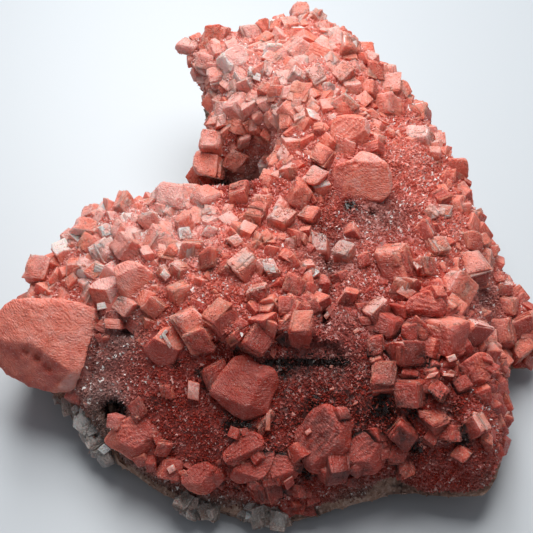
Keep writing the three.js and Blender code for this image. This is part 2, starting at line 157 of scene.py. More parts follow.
plan = np.array(sections, float)
bayKnots = pointAtHeight(plan[:, 0], plan[:, 1], plan[:, 2])
outerKnots = pointAtHeight(plan[:, 3], plan[:, 4], plan[:, 5])
rimShares = np.linspace(0.0, 1.0, form["rimSteps"] + 1)
rim = np.vstack([catmullRom(bayKnots, rimShares), catmullRom(outerKnots, rimShares)[::-1]])
spots = pointAtHeight(*np.array(spotHeights, float).T)
ledgeLine = pointAtHeight(*np.array(form["ledge"], float).T, form["ledgeHeight"])[:, :2]
furrowLine = pointAtHeight(*np.array(form["furrow"], float).T, form["furrowHeight"])[:, :2]


def nearestOnLine(places, line, closed=False):
    # for each place: distance to the nearest straight piece, 1 on its left or -1 on its right, and how far
    # along the line it is, in pieces
    best = np.full(len(places), np.inf)
    side = np.ones(len(places))
    along = np.zeros(len(places))
    ends = np.roll(line, -1, axis=0)
    for i in range(len(line) if closed else len(line) - 1):
        step = ends[i] - line[i]
        off = places - line[i]
        t = np.clip(off @ step / (step @ step), 0.0, 1.0)
        gap = np.hypot(*(off - t[:, None] * step).T)
        nearer = gap < best
        best = np.where(nearer, gap, best)
        leftOf = step[0] * off[:, 1] - step[1] * off[:, 0] >= 0
        side = np.where(nearer, np.where(leftOf, 1.0, -1.0), side)
        along = np.where(nearer, i + t, along)
    return best, side, along


def insideRim(places):
    # odd number of rim pieces crossed by a line to the right
    inside = np.zeros(len(places), bool)
    for a, b in zip(rim, np.roll(rim, -1, axis=0)):
        if a[1] != b[1]:
            spans = (a[1] > places[:, 1]) != (b[1] > places[:, 1])
            crossing = (b[0] - a[0]) * (places[:, 1] - a[1]) / (b[1] - a[1]) + a[0]
            inside ^= spans & (places[:, 0] < crossing)
    return inside


def rimPoint(along):
    # the point of the rim at that many pieces along it
    near = np.floor(along).astype(int) % len(rim)
    return lerp(rim[near], rim[(near + 1) % len(rim)], (along - np.floor(along))[:, None])


def topHeight(places):
    # height of the crust's top: the mean of the surveyed heights, weighed by exp(-distance^2 / 2 reach^2),
    # with a ledge that fades away from its line, a furrow, and a quarter round down to the rim
    weights = np.zeros(len(places))
    height = np.zeros(len(places))
    for spot in spots:
        w = np.exp(-((places - spot[:2]) ** 2).sum(1) / (2.0 * form["surveyReach"] ** 2)) + 1e-9
        weights += w
        height += w * spot[2]
    height /= weights
    gap, side, along = nearestOnLine(places, ledgeLine)
    share = along / (len(ledgeLine) - 1)
    reach = smooth(share * form["ledgeEnds"]) * smooth((1.0 - share) * form["ledgeEnds"])
    rise = form["ledgeRise"] * reach * side * smooth(gap / form["ledgeStep"])
    height += rise * np.exp(-gap / form["ledgeFade"])
    gap, _, along = nearestOnLine(places, furrowLine)
    share = along / (len(furrowLine) - 1)
    reach = smooth((1.0 - share) * form["furrowEnd"])
    height -= form["furrowDepth"] * reach * np.exp(-((gap / form["furrowWidth"]) ** 2))
    gap, _, along = nearestOnLine(places, rim[:, :2], closed=True)
    roll = np.where(insideRim(places), np.maximum(0.0, 1.0 - gap / form["rimRoll"]), 1.0)
    return lerp(height, rimPoint(along)[:, 2], 1.0 - np.sqrt(1.0 - roll ** 2))


def heightBelow(places, depth):
    # the top carried down square to its slope: the lowest of a ball of that radius rolled under it
    least = topHeight(places) - depth
    for share in (0.5, 0.87):
        for turn in np.arange(8) * math.pi / 4:
            moved = places + depth * share * np.array([math.cos(turn), math.sin(turn)])
            least = np.minimum(least, topHeight(moved) - depth * math.sqrt(1.0 - share ** 2))
    return least


def sunkTop(places, look):
    # the top carried down, lower still once well inside the rim, but never under the least height
    inside = nearestOnLine(places, rim[:, :2], closed=True)[0] - look["sagFrom"]
    sunk = heightBelow(places, look["below"]) - look["sag"] * smooth(inside / look["sagOver"])
    return np.maximum(look["least"], sunk)


def seatOf(columns, rows, reach):
    # first point down each sight line that is under the crust's top; where the line misses it, a point
    # on the line beside the rim, at most reach away from it
    heights = np.arange(*form["seatHeights"])
    c, h = np.meshgrid(np.asarray(columns, float), heights, indexing="ij")
    r = np.repeat(np.asarray(rows, float)[:, None], len(heights), 1)
    path = pointAtHeight(c, r, h)
    flat = path.reshape(-1, 3)
    under = (insideRim(flat[:, :2]) & (flat[:, 2] <= topHeight(flat[:, :2]))).reshape(h.shape)
    hit = under.argmax(1)
    edge = rimPoint(nearestOnLine(flat[:, :2], rim[:, :2], closed=True)[2]).reshape(path.shape)
    near = np.linalg.norm(edge - path, axis=2).argmin(1)
    rowOf = np.arange(len(path))
    away = path[rowOf, near] - edge[rowOf, near]
    away *= np.minimum(1.0, reach / np.maximum(np.linalg.norm(away, axis=1), 1e-6))[:, None]
    return np.where(under.any(1)[:, None], path[rowOf, hit], edge[rowOf, near] + away)


def latticeNoise(points, size, seed):
    # value noise: chance numbers on a cubic lattice, blended smoothly, -1 to 1
    q = points / size
    base = np.floor(q)
    f = q - base
    f = f * f * (3.0 - 2.0 * f)
    total = np.zeros(len(points))
    for corner in range(8):
        d = np.array([corner & 1, corner >> 1 & 1, corner >> 2 & 1])
        value = chance((base + d) @ np.array([1.27, 31.17, 7.47]) + seed * 9.19)
        total += value * np.prod(np.where(d, f, 1.0 - f), axis=1)
    return 2.0 * total - 1.0


def layeredNoise(points, size, layers, seed):
    # each layer has half the size and half the strength of the one before
    return sum(latticeNoise(points, size / 2 ** k, seed + k) / 2 ** k for k in range(layers))


# patches of colour, each round a place on the crust: column, row, reach in mm, strength
patches = {
    "glareAndShade": [  # painted glare of the back light where positive, painted shade over the front slopes where negative
        (110, 235, 17, 0.36), (185, 222, 15, 0.32), (250, 60, 20, 0.32), (310, 60, 16, 0.16),
        (250, 150, 12, 0.12), (300, 450, 24, -0.4), (420, 450, 24, -0.4), (190, 430, 20, -0.34),
        (340, 395, 16, -0.2), (450, 370, 16, -0.24), (240, 330, 14, -0.12), (380, 320, 14, -0.16),
        (430, 320, 16, -0.14),
    ],
    "flat": [  # darker druse with few rhombs
        (325, 392, 9, 1), (300, 385, 7, 1), (355, 405, 7, 1), (180, 428, 8, 1), (200, 412, 7, 1),
        (112, 352, 6, 0.5), (100, 375, 6, 0.4), (135, 385, 7, 0.7), (333, 235, 6, 0.9), (390, 200, 7, 0.9),
        (395, 225, 6, 0.8), (440, 472, 9, 1), (470, 462, 8, 1), (410, 485, 6, 1), (336, 335, 5, 0.9),
        (160, 370, 5, 1), (225, 430, 6, 1), (300, 475, 6, 1), (345, 415, 6, 1), (120, 395, 5, 1),
        (480, 300, 8, 0.8), (370, 430, 6, 0.7), (280, 425, 6, 1), (235, 372, 5, 0.7), (270, 188, 5, 0.4),
    ],
    "thin": [  # as many tips as elsewhere but few rhombs
        (385, 150, 5, 0.7), (405, 175, 6, 0.9), (420, 200, 6, 0.8), (400, 205, 6, 0.9), (410, 130, 5, 0.7),
        (440, 250, 5, 0.6), (395, 240, 6, 0.8), (375, 245, 5, 0.8), (430, 170, 6, 0.9), (335, 215, 5, 0.6),
        (275, 150, 6, 0.6), (325, 135, 4, 0.6), (450, 225, 5, 0.7), (365, 280, 5, 0.5), (230, 290, 5, 0.6),
        (490, 300, 7, 0.9), (345, 270, 5, 0.6), (170, 300, 5, 0.5), (255, 180, 6, 0.9), (370, 110, 4, 0.4),
        (380, 395, 6, 0.7), (395, 415, 5, 0.7), (450, 410, 5, 0.7), (470, 400, 4, 0.5), (150, 395, 6, 0.8),
    ],
    "hollow": [  # painted black shade in pits, cracks and under overhangs, each a soft column down the sight line
        (113, 412, 2.0, 4.0), (120, 409, 1.2, 2.2), (127, 331, 1.5, 1.4),
        *[(column, 362, 0.62, 1.5) for column in range(265, 348, 5)],
        (240, 187, 4.0, 2.0), (222, 184, 3.0, 2.0),
        (347, 206, 1.2, 0.9), (355, 208, 1.1, 0.8), (200, 372, 1.2, 1.2), (236, 352, 1.3, 1.3),
        (330, 300, 1.0, 0.9), (327, 318, 1.0, 0.9), (176, 363, 1.2, 1.2), (343, 468, 2.0, 1.3),
        (230, 425, 1.5, 0.9), (312, 404, 1.2, 0.7), (283, 372, 1.6, 0.8), (397, 438, 1.4, 0.9),
        (440, 392, 1.3, 0.9), (480, 300, 1.5, 0.7), (156, 400, 1.4, 0.6), (338, 465, 2.2, 1.3),
        (307, 470, 1.5, 0.9), (385, 407, 2.2, 0.8), (455, 411, 2.0, 0.7), (463, 441, 1.6, 0.9),
        (414, 412, 1.4, 0.9), (416, 448, 1.5, 0.8), (220, 344, 1.5, 1.0), (243, 424, 1.6, 0.9),
        (238, 487, 2.0, 0.8), (96, 426, 1.6, 0.8), (109, 452, 1.5, 0.8), (350, 205, 2.0, 0.8),
    ],
    "bareEdge": [  # brown edge without red growth, along the front
        (62, 400, 5, 0.8), (74, 418, 5, 0.8), (84, 436, 5, 0.8), (98, 452, 5, 0.8), (114, 464, 5, 0.8),
        (130, 474, 5, 0.8), (150, 484, 5, 0.8), (170, 492, 5, 0.8), (195, 502, 5, 0.8), (222, 508, 5, 0.8),
        (250, 512, 5, 0.8), (345, 498, 5, 0.8), (375, 491, 4, 0.8), (405, 492, 3, 0.8),
        (435, 494, 2.5, 0.6), (465, 492, 2.5, 0.5), (494, 483, 2, 0.5),
    ],
    "stain": [  # grey growth where the rock shows through
        (332, 262, 7, 0.55), (338, 318, 6, 0.35), (392, 215, 6, 0.4), (368, 215, 5, 0.35),
        (85, 400, 7, 0.5), (104, 342, 8, 0.3), (100, 372, 8, 0.3), (484, 300, 8, 0.6), (478, 345, 4, 0.3),
        (243, 185, 8, 0.8), (125, 332, 4, 0.7), (113, 411, 5, 0.8), (300, 364, 3, 0.6), (262, 362, 3, 0.5),
        (338, 364, 3, 0.6), (210, 84, 8, 0.35),
    ],
}


def patchSum(points, name):
    # sum of soft balls, each its strength times exp(-distance^2 / 2 reach^2)
    zones = np.array(patches[name], float)
    total = np.zeros(len(points))
    for centre, zone in zip(seatOf(zones[:, 0], zones[:, 1], 0.0), zones):
        total += zone[3] * np.exp(-((points - centre) ** 2).sum(1) / (2.0 * zone[2] ** 2))
    return total


def partOf(points, name, share, most):
    # a share of those patches, cut off at the most
    return np.clip(patchSum(points, name) * share, 0, most)


paintedShadeLength = 15.0  # mm each way that a column of painted black shade runs along its sight line


def paintedShadeSum(points):
    # painted black shade: a sum of soft columns, the same fall with the distance from the sight line through
    # each place
    zones = np.array(patches["hollow"], float)
    total = np.zeros(len(points))
    for centre, zone in zip(seatOf(zones[:, 0], zones[:, 1], 0.0), zones):
        off = points - centre
        along = off @ toEye
        ring = (off ** 2).sum(1) - along ** 2
        total += zone[3] * np.exp(-ring / (2.0 * zone[2] ** 2)) * (np.abs(along) < paintedShadeLength)
    return total


def makePiece(name, points, faces, material, values, sharpAngle=None):
    # one mesh from arrays in mm: its faces all have as many corners, and values holds a number or a
    # vector for each point under each name
    mesh = bpy.data.meshes.new(name)
    mesh.vertices.add(len(points))
    mesh.vertices.foreach_set("co", (points * mm).astype(np.float32).ravel())
    corners = faces.shape[1]
    mesh.loops.add(faces.size)
    mesh.loops.foreach_set("vertex_index", faces.astype(np.int32).ravel())
    mesh.polygons.add(len(faces))
    mesh.polygons.foreach_set("loop_start", np.arange(0, faces.size, corners, dtype=np.int32))
    mesh.update(calc_edges=True)
    for key, data in values.items():
        layer = mesh.attributes.new(key, "FLOAT_VECTOR" if data.ndim == 2 else "FLOAT", "POINT")
        layer.data.foreach_set("vector" if data.ndim == 2 else "value", data.astype(np.float32).ravel())
    mesh.polygons.foreach_set("use_smooth", np.full(len(faces), sharpAngle is not None))
    if sharpAngle:
        mesh.set_sharp_from_angle(angle=math.radians(sharpAngle))
    mesh.materials.append(material)
    piece = bpy.data.objects.new(name, mesh)
    bpy.context.scene.collection.objects.link(piece)
    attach(piece, "root")
    print(name, "-", len(points), "points,", len(faces) * (corners - 2), "triangles")
    return piece


def closedLoops(loops):
    # squares between neighbouring loops, each cut in two, and a fan over each end
    count, size = loops.shape[:2]
    k, i = np.meshgrid(np.arange(count - 1), np.arange(size), indexing="ij")
    a = (k * size + i).ravel()
    b = (k * size + (i + 1) % size).ravel()
    faces = [np.stack([a, a + size, b + size], 1), np.stack([a, b + size, b], 1)]
    ring = np.arange(size)
    after = (ring + 1) % size
    middle = np.full(size, count * size)
    last = (count - 1) * size
    faces += [np.stack([ring, after, middle], 1), np.stack([last + after, last + ring, middle + 1], 1)]
    points = np.vstack([loops.reshape(-1, 3), loops[0].mean(0), loops[-1].mean(0)])
    return points, np.vstack(faces)


def loopNormals(loops):
    # step along the row of loops crossed with the step round each loop
    return unit(np.cross(np.gradient(loops, axis=0), np.roll(loops, -1, axis=1) - np.roll(loops, 1, axis=1)))


def sharesOf(count):
    # shares of the way across, closer together towards both rims
    i = np.arange(count + 1) / count
    return lerp(i, 0.5 - 0.5 * np.cos(math.pi * i), 0.7)


def across(bay, outer, shares):
    # points of the plan at shares of the way from the bay edge to the outer edge
    return lerp(bay[:, None, :2], outer[:, None, :2], shares[..., None])


def raised(places, heights):
    # plan points with a height function's values as z
    return np.dstack([places, heights(places.reshape(-1, 2)).reshape(places.shape[:2])])


def cubeGrid(lines):
    # every lattice point on the skin of a cube, with the same lines along all three edges
    n = len(lines)
    i, j, k = np.meshgrid(*[np.arange(n)] * 3, indexing="ij")
    skin = (np.minimum(np.minimum(i, j), k) == 0) | (np.maximum(np.maximum(i, j), k) == n - 1)
    number = np.full((n, n, n), -1)
    number[skin] = np.arange(skin.sum())
    points = np.stack([lines[i[skin]], lines[j[skin]], lines[k[skin]]], 1)
    faces = []
    for axis in range(3):
        for end in (0, n - 1):
            page = np.take(number, end, axis)
            square = [page[:-1, :-1], page[1:, :-1], page[1:, 1:], page[:-1, 1:]]
            outward = (end > 0) != (axis == 1)
            faces.append(np.stack(square if outward else square[::-1], -1).reshape(-1, 4))
    return points, np.vstack(faces)


# materials: short ways to make nodes first
def addSockets(tree, ins, outs):
    # a group's own sockets: name, kind and value of what goes in, name and kind of what comes out
    for name, kind, value in ins:
        socket = tree.interface.new_socket(name=name, in_out="INPUT", socket_type=kind)
        socket.default_value = value
    for name, kind in outs:
        tree.interface.new_socket(name=name, in_out="OUTPUT", socket_type=kind)
    return tree.nodes.new("NodeGroupInput"), tree.nodes.new("NodeGroupOutput")


def give(tree, socket, value):
    # a link where the value is another node's socket, and the value itself where it isn't
    if isinstance(value, bpy.types.NodeSocket):
        tree.links.new(value, socket)
    else:
        socket.default_value = value


def node(tree, kind, inputs=None, **settings):
    # one node, with its settings made and then its inputs given
    made = tree.nodes.new(kind)
    for key, value in settings.items():
        setattr(made, key, value)
    for key, value in (inputs or {}).items():
        give(tree, made.inputs[key], value)
    return made


def mathNode(tree, operation, a, b=0.0):
    # a and b put together by one operation
    return node(tree, "ShaderNodeMath", {0: a, 1: b}, operation=operation).outputs[0]


def times(tree, a, b):
    # a times b
    return mathNode(tree, "MULTIPLY", a, b)


def mixColour(tree, share, a, b):
    # a where the share is 0, b where it is 1
    made = node(tree, "ShaderNodeMix", {0: share}, data_type="RGBA", clamp_factor=True)
    for socket, value in ((made.inputs[6], a), (made.inputs[7], b)):
        give(tree, socket, (*value, 1.0) if isinstance(value, tuple) else value)
    return made.outputs[2]


def attribute(tree, name, output="Fac"):
    # what the mesh holds for each of its points under that name
    return node(tree, "ShaderNodeAttribute", attribute_name=name).outputs[output]


def ramp(tree, value, low, high):
    # 0 at low, 1 at high, level beyond them
    made = node(tree, "ShaderNodeMapRange", {"Value": value, "From Min": low, "From Max": high})
    return made.outputs["Result"]


def noiseAt(tree, vector, scale, detail=2.0, roughness=0.55):
    # scale is in lumps per metre on Object coordinates, or per millimetre on the growth attribute
    made = node(tree, "ShaderNodeTexNoise", {"Vector": vector, "Scale": scale, "Detail": detail,
                                             "Roughness": roughness})
    return made.outputs["Fac"]


def crumbsAt(tree, vector, scale):
    # distance from the middle of the nearest crumb
    return node(tree, "ShaderNodeTexVoronoi", {"Vector": vector, "Scale": scale}).outputs["Distance"]


growthLook = {
    "bendScale": 0.22, "bend": 2.2,                       # lumps per mm, and mm that a plate is bent
    "patchScale": 0.35, "patchRange": (0.42, 0.62),       # where the plates show
    "plateHeight": 0.4,
    "stretch": (0.9, 0.9, 4.2), "streakScale": 1.5, "crestRange": (0.53, 0.66),
    "grainScale": 1.5,
    "crumbScale": 1.15, "crumbyScale": 0.3, "crumbyRange": (0.38, 0.58),
}


def growthGroup():
    # fine plates of growth, as a height: a zigzag along the crystal's own third edge, bent by noise,
    # plus streaks drawn out across it, plus grain, less crumbs
    look = growthLook
    tree = bpy.data.node_groups.new("growthLines", "ShaderNodeTree")
    start, end = addSockets(
        tree,
        [("Growth", "NodeSocketVector", (0, 0, 0)), ("Spacing", "NodeSocketFloat", 0.6),
         ("Grain", "NodeSocketFloat", 0.5), ("Streaks", "NodeSocketFloat", 1.0),
         ("Crumbs", "NodeSocketFloat", 1.0)],
        [("Height", "NodeSocketFloat"), ("Crest", "NodeSocketFloat"), ("PaintedCrumbShade", "NodeSocketFloat")])
    growth = start.outputs["Growth"]
    third = node(tree, "ShaderNodeSeparateXYZ", {0: growth}).outputs[2]
    bend = noiseAt(tree, growth, look["bendScale"], 2.0)
    grain = noiseAt(tree, growth, look["grainScale"], 3.0, 0.7)
    run = mathNode(tree, "ADD", third, times(tree, bend, look["bend"]))
    run = mathNode(tree, "DIVIDE", run, start.outputs["Spacing"])
    tooth = mathNode(tree, "PINGPONG", run, 1.0)
    patch = noiseAt(tree, growth, look["patchScale"], 1.0)
    tooth = times(tree, tooth, ramp(tree, patch, *look["patchRange"]))
    drawn = node(tree, "ShaderNodeVectorMath", {0: growth, 1: look["stretch"]}, operation="MULTIPLY")
    streak = noiseAt(tree, drawn.outputs["Vector"], look["streakScale"], 2.0, 0.6)
    tooth = mathNode(tree, "ADD", tooth, times(tree, streak, start.outputs["Streaks"]))
    height = mathNode(tree, "ADD", times(tree, tooth, look["plateHeight"]),
                      times(tree, grain, start.outputs["Grain"]))
    crumb = crumbsAt(tree, growth, look["crumbScale"])
    crumby = noiseAt(tree, growth, look["crumbyScale"], 2.0)
    crumb = times(tree, crumb, ramp(tree, crumby, *look["crumbyRange"]))
    height = mathNode(tree, "SUBTRACT", height, times(tree, crumb, start.outputs["Crumbs"]))
    # the crumbs' grooves also go out on their own, for painted shade in the colour there
    tree.links.new(crumb, end.inputs["PaintedCrumbShade"])
    tree.links.new(height, end.inputs["Height"])
    tree.links.new(ramp(tree, streak, *look["crestRange"]), end.inputs["Crest"])
    return tree


frostLook = {
    "speckScale": 1900.0, "hazeScale": 260.0,   # lumps per metre
    "cut": 0.74, "cutFall": 0.16, "speckEdge": 0.05, "hazeRange": (0.42, 0.72),
}


def frostGroup():
    # scattered specks of white where a fine noise is over a cut, which is lower where there is more
    # frost, and a haze from a broader noise
    look = frostLook
    tree = bpy.data.node_groups.new("frostSpecks", "ShaderNodeTree")
    start, end = addSockets(
        tree, [("Place", "NodeSocketVector", (0, 0, 0)), ("Amount", "NodeSocketFloat", 0.5)],
        [("Specks", "NodeSocketFloat"), ("Haze", "NodeSocketFloat")])
    specks = noiseAt(tree, start.outputs["Place"], look["speckScale"], 2.0, 0.6)
    clouds = noiseAt(tree, start.outputs["Place"], look["hazeScale"], 3.0, 0.6)
    cut = mathNode(tree, "SUBTRACT", look["cut"], times(tree, start.outputs["Amount"], look["cutFall"]))
    speck = ramp(tree, mathNode(tree, "SUBTRACT", specks, cut), 0.0, look["speckEdge"])
    haze = times(tree, ramp(tree, clouds, *look["hazeRange"]), start.outputs["Amount"])
    tree.links.new(speck, end.inputs["Specks"])
    tree.links.new(haze, end.inputs["Haze"])
    return tree


growthLines = growthGroup()
frostSpecks = frostGroup()

# what the three calcites differ in; spacing is in mm and bumpDepth in metres
finishes = {
    "crystal": {
        "deep": (0.48, 0.048, 0.026), "salmon": (0.86, 0.215, 0.136), "pale": (0.90, 0.48, 0.43),
        "stain": (0.36, 0.19, 0.175), "rocky": (0.24, 0.15, 0.12), "white": (0.92, 0.73, 0.69),
        "roughness": 0.4, "subsurface": 0.55, "spacing": 0.33, "grain": 1.3, "streaks": 1.3, "crumbs": 0.9,
        "bumpDepth": 0.0004, "dash": 0.3, "frost": 0.45,
    },
    "druse": {
        "deep": (0.40, 0.035, 0.022), "salmon": (0.74, 0.15, 0.10), "pale": (0.88, 0.46, 0.41),
        "stain": (0.33, 0.18, 0.165), "rocky": (0.16, 0.098, 0.078), "white": (0.95, 0.88, 0.85),
        "roughness": 0.24, "subsurface": 0.12, "spacing": 0.9, "grain": 1.4, "streaks": 0.2, "crumbs": 0.4,
        "bumpDepth": 0.00015, "dash": 0.2, "frost": 0.35,
    },
    "paleCalcite": {
        "deep": (0.34, 0.23, 0.19), "salmon": (0.60, 0.49, 0.45), "pale": (0.88, 0.82, 0.80),
        "stain": (0.14, 0.11, 0.09), "rocky": (0.16, 0.10, 0.08), "white": (0.95, 0.93, 0.92),
        "roughness": 0.3, "subsurface": 0.25, "spacing": 0.45, "grain": 1.6, "streaks": 1.6, "crumbs": 1.6,
        "bumpDepth": 0.0005, "dash": 0.4, "frost": 0.45,
    },
}


calciteLook = {  # and what they share
    "cloudScale": 230.0, "cloud": 1.1,          # lumps per metre, and how far they move the tone
    # tone over the white range is painted glint and sheen, under the black range painted shade
    "toSalmon": (0.0, 0.45), "toPale": (0.45, 1.0), "toPaintedWhite": (1.2, 1.4), "toPaintedBlack": (-0.5, -1.2),
    "paintedBlack": (0.02, 0.006, 0.004),
    # how far painted shade deepens the crumbs' grooves, then frost haze and specks
    "paintedCrumbShade": 0.35, "haze": 0.35, "specks": 0.7,
    "hazeRough": 0.25, "speckGloss": 0.2,
    "glowReach": (1.0, 0.36, 0.28), "glowDepth": 0.003, "ior": 1.55,
}


def calciteMaterial(name, look):
    # colour runs black, deep, salmon, pale, white with tone, where the black is painted shade and the white
    # painted glints and sheen; deeper in the crumbs' grooves as painted shade; grey where stained; frost over
    # it
    shared = calciteLook
    material = bpy.data.materials.new(name)
    material.use_nodes = True
    tree = material.node_tree
    shader = tree.nodes["Principled BSDF"]
    place = node(tree, "ShaderNodeTexCoord").outputs["Object"]
    growth = attribute(tree, "growth", "Vector")
    cloud = mathNode(tree, "SUBTRACT", noiseAt(tree, place, shared["cloudScale"], 4.0, 0.6), 0.5)
    tone = mathNode(tree, "ADD", attribute(tree, "tone"), times(tree, cloud, shared["cloud"]))
    lines = node(tree, "ShaderNodeGroup", {
        "Growth": growth, "Spacing": look["spacing"], "Grain": look["grain"], "Streaks": look["streaks"],
        "Crumbs": look["crumbs"]}, node_tree=growthLines).outputs
    frost = node(tree, "ShaderNodeGroup", {"Place": place, "Amount": look["frost"]},
                 node_tree=frostSpecks).outputs
    colour = look["deep"]
    for share, layer in (
            (ramp(tree, tone, *shared["toSalmon"]), look["salmon"]),
            (ramp(tree, tone, *shared["toPale"]), look["pale"]),
            # painted shade in the crumbs' grooves
            (times(tree, lines["PaintedCrumbShade"], shared["paintedCrumbShade"]), look["deep"]),
            (attribute(tree, "stain"), look["stain"]),
            (attribute(tree, "rocky"), look["rocky"]),
            (times(tree, frost["Haze"], shared["haze"]), look["pale"]),
            (times(tree, lines["Crest"], look["dash"]), look["pale"]),
            (times(tree, frost["Specks"], shared["specks"]), look["white"]),
            # painted white highlights where the tone is high, painted black shade where it is low
            (ramp(tree, tone, *shared["toPaintedWhite"]), look["white"]),
            (ramp(tree, tone, *shared["toPaintedBlack"]), shared["paintedBlack"])):
        colour = mixColour(tree, share, colour, layer)
    tree.links.new(colour, shader.inputs["Base Color"])
    rough = mathNode(tree, "ADD", look["roughness"], times(tree, frost["Haze"], shared["hazeRough"]))
    rough = mathNode(tree, "SUBTRACT", rough, times(tree, frost["Specks"], shared["speckGloss"]))
    tree.links.new(rough, shader.inputs["Roughness"])
    bump = node(tree, "ShaderNodeBump", {"Strength": 1.0, "Distance": look["bumpDepth"],
                                         "Height": lines["Height"]})
    tree.links.new(bump.outputs["Normal"], shader.inputs["Normal"])
    shader.inputs["Subsurface Weight"].default_value = look["subsurface"]
    shader.inputs["Subsurface Radius"].default_value = shared["glowReach"]
    shader.inputs["Subsurface Scale"].default_value = shared["glowDepth"]
    shader.inputs["IOR"].default_value = shared["ior"]
    return material


rockFinish = {
    "umber": (0.16, 0.080, 0.055), "tan": (0.40, 0.235, 0.17), "sand": (0.60, 0.44, 0.37),
    "poreAndPaintedShade": (0.04, 0.022, 0.017),
    "broadScale": 90.0, "broadRange": (0.35, 0.6),      # lumps per metre
    "grainScale": 900.0, "grainRange": (0.48, 0.7),
    "poreScale": 760.0, "poreRange": (0.5, 0.9), "poreWhere": (0.6, 0.42), "poreDepth": -0.7,
    "roughness": 0.62, "roughSpread": 0.3,
    "bump": 0.8, "bumpDepth": 0.0006,
}


def rockMaterial():
    # grey-brown rock: two browns by a broad noise, a pale grain over them, dark pores where it is dark,
    # partly painted shade in the pits the bump sinks there
    look = rockFinish
    material = bpy.data.materials.new("hostRock")
    material.use_nodes = True
    tree = material.node_tree
    shader = tree.nodes["Principled BSDF"]
    place = node(tree, "ShaderNodeTexCoord").outputs["Object"]
    broad = noiseAt(tree, place, look["broadScale"], 4.0, 0.6)
    grain = noiseAt(tree, place, look["grainScale"], 4.0, 0.7)
    colour = mixColour(tree, ramp(tree, broad, *look["broadRange"]), look["umber"], look["tan"])
    colour = mixColour(tree, ramp(tree, grain, *look["grainRange"]), colour, look["sand"])
    pores = crumbsAt(tree, place, look["poreScale"])
    # dark pores, partly painted shade where the bump is lowest
    poreShadeMask = times(tree, ramp(tree, pores, *look["poreRange"]), ramp(tree, broad, *look["poreWhere"]))
    colour = mixColour(tree, poreShadeMask, colour, look["poreAndPaintedShade"])
    tree.links.new(colour, shader.inputs["Base Color"])
    height = mathNode(tree, "ADD", grain, times(tree, pores, look["poreDepth"]))
    bump = node(tree, "ShaderNodeBump", {"Strength": look["bump"], "Distance": look["bumpDepth"],
                                         "Height": height})
    tree.links.new(bump.outputs["Normal"], shader.inputs["Normal"])
    rough = mathNode(tree, "ADD", look["roughness"], times(tree, grain, look["roughSpread"]))
    tree.links.new(rough, shader.inputs["Roughness"])
    return material


materials = {name: calciteMaterial(name, look) for name, look in finishes.items()}
materials["rock"] = rockMaterial()
print("materials ready")

# the crust; "below" is how far its underside lies down, and well inside the rim it sags by "sag" more
crustLook = {
    "along": 330, "across": 104,      # steps of the grid
    "sideSteps": 5, "underSteps": 9,
    "tuck": form["thickness"] + 2.0,  # how far the underside stands in from the rim, mm
    "below": form["thickness"] + 3.0, "least": 1.5, "sag": 4.0, "sagFrom": 9.0, "sagOver": 10.0,
    "lumps": [(9.0, 0.8, 3), (2.6, 0.35, 2)],  # size, height and layers of its relief, mm
    "seed": 3,
    "cracks": [                       # line on the sheet, its height, then depth and width
        ([(262, 362), (285, 363), (320, 362), (346, 365)], 34.0, 5.0, 0.9),
        ([(300, 197), (322, 222), (330, 262), (327, 300), (324, 335)], 46.0, 2.4, 0.8),
        ([(84, 380), (98, 345), (101, 320)], 27.0, 2.2, 1.2),
    ],
    "crackEnds": 8.0,                 # each comes in over an eighth of its line
    "pits": [(113, 411, 3.2, 8.0), (127, 331, 2.6, 5.0), (120, 447, 1.8, 3.0), (372, 214, 1.6, 2.4)],
    "pitLength": 9.0,                 # mm each way that a pit runs along its sight line
    "toneRange": (0.14, 0.40), "toneSize": 9.0,  # and size of its clouds, mm
    "flatDark": 0.4,                  # how much darker the flat patches are
    "stainMost": 0.85, "rockyMost": 0.9,
}


def sinkPits(points, pits):
    # points near each pit's sight line pushed away from the eye: depth times exp(-(distance / radius)^4)
    pits = np.array(pits, float)
    for seat, (_, _, radius, depth) in zip(seatOf(pits[:, 0], pits[:, 1], 0.0), pits):
        off = points - seat
        down = -(off @ toEye)
        ring = np.linalg.norm(off + down[:, None] * toEye, axis=1)
        share = np.exp(-((ring / radius) ** 4)) * (np.abs(down) < crustLook["pitLength"])
        points = points - toEye * (depth * share)[:, None]
    return points


def lumpsOn(points, look):
    # layers of noise, each of them times its height
    return sum(high * layeredNoise(points, size, layers, look["seed"])
               for size, high, layers in look["lumps"])


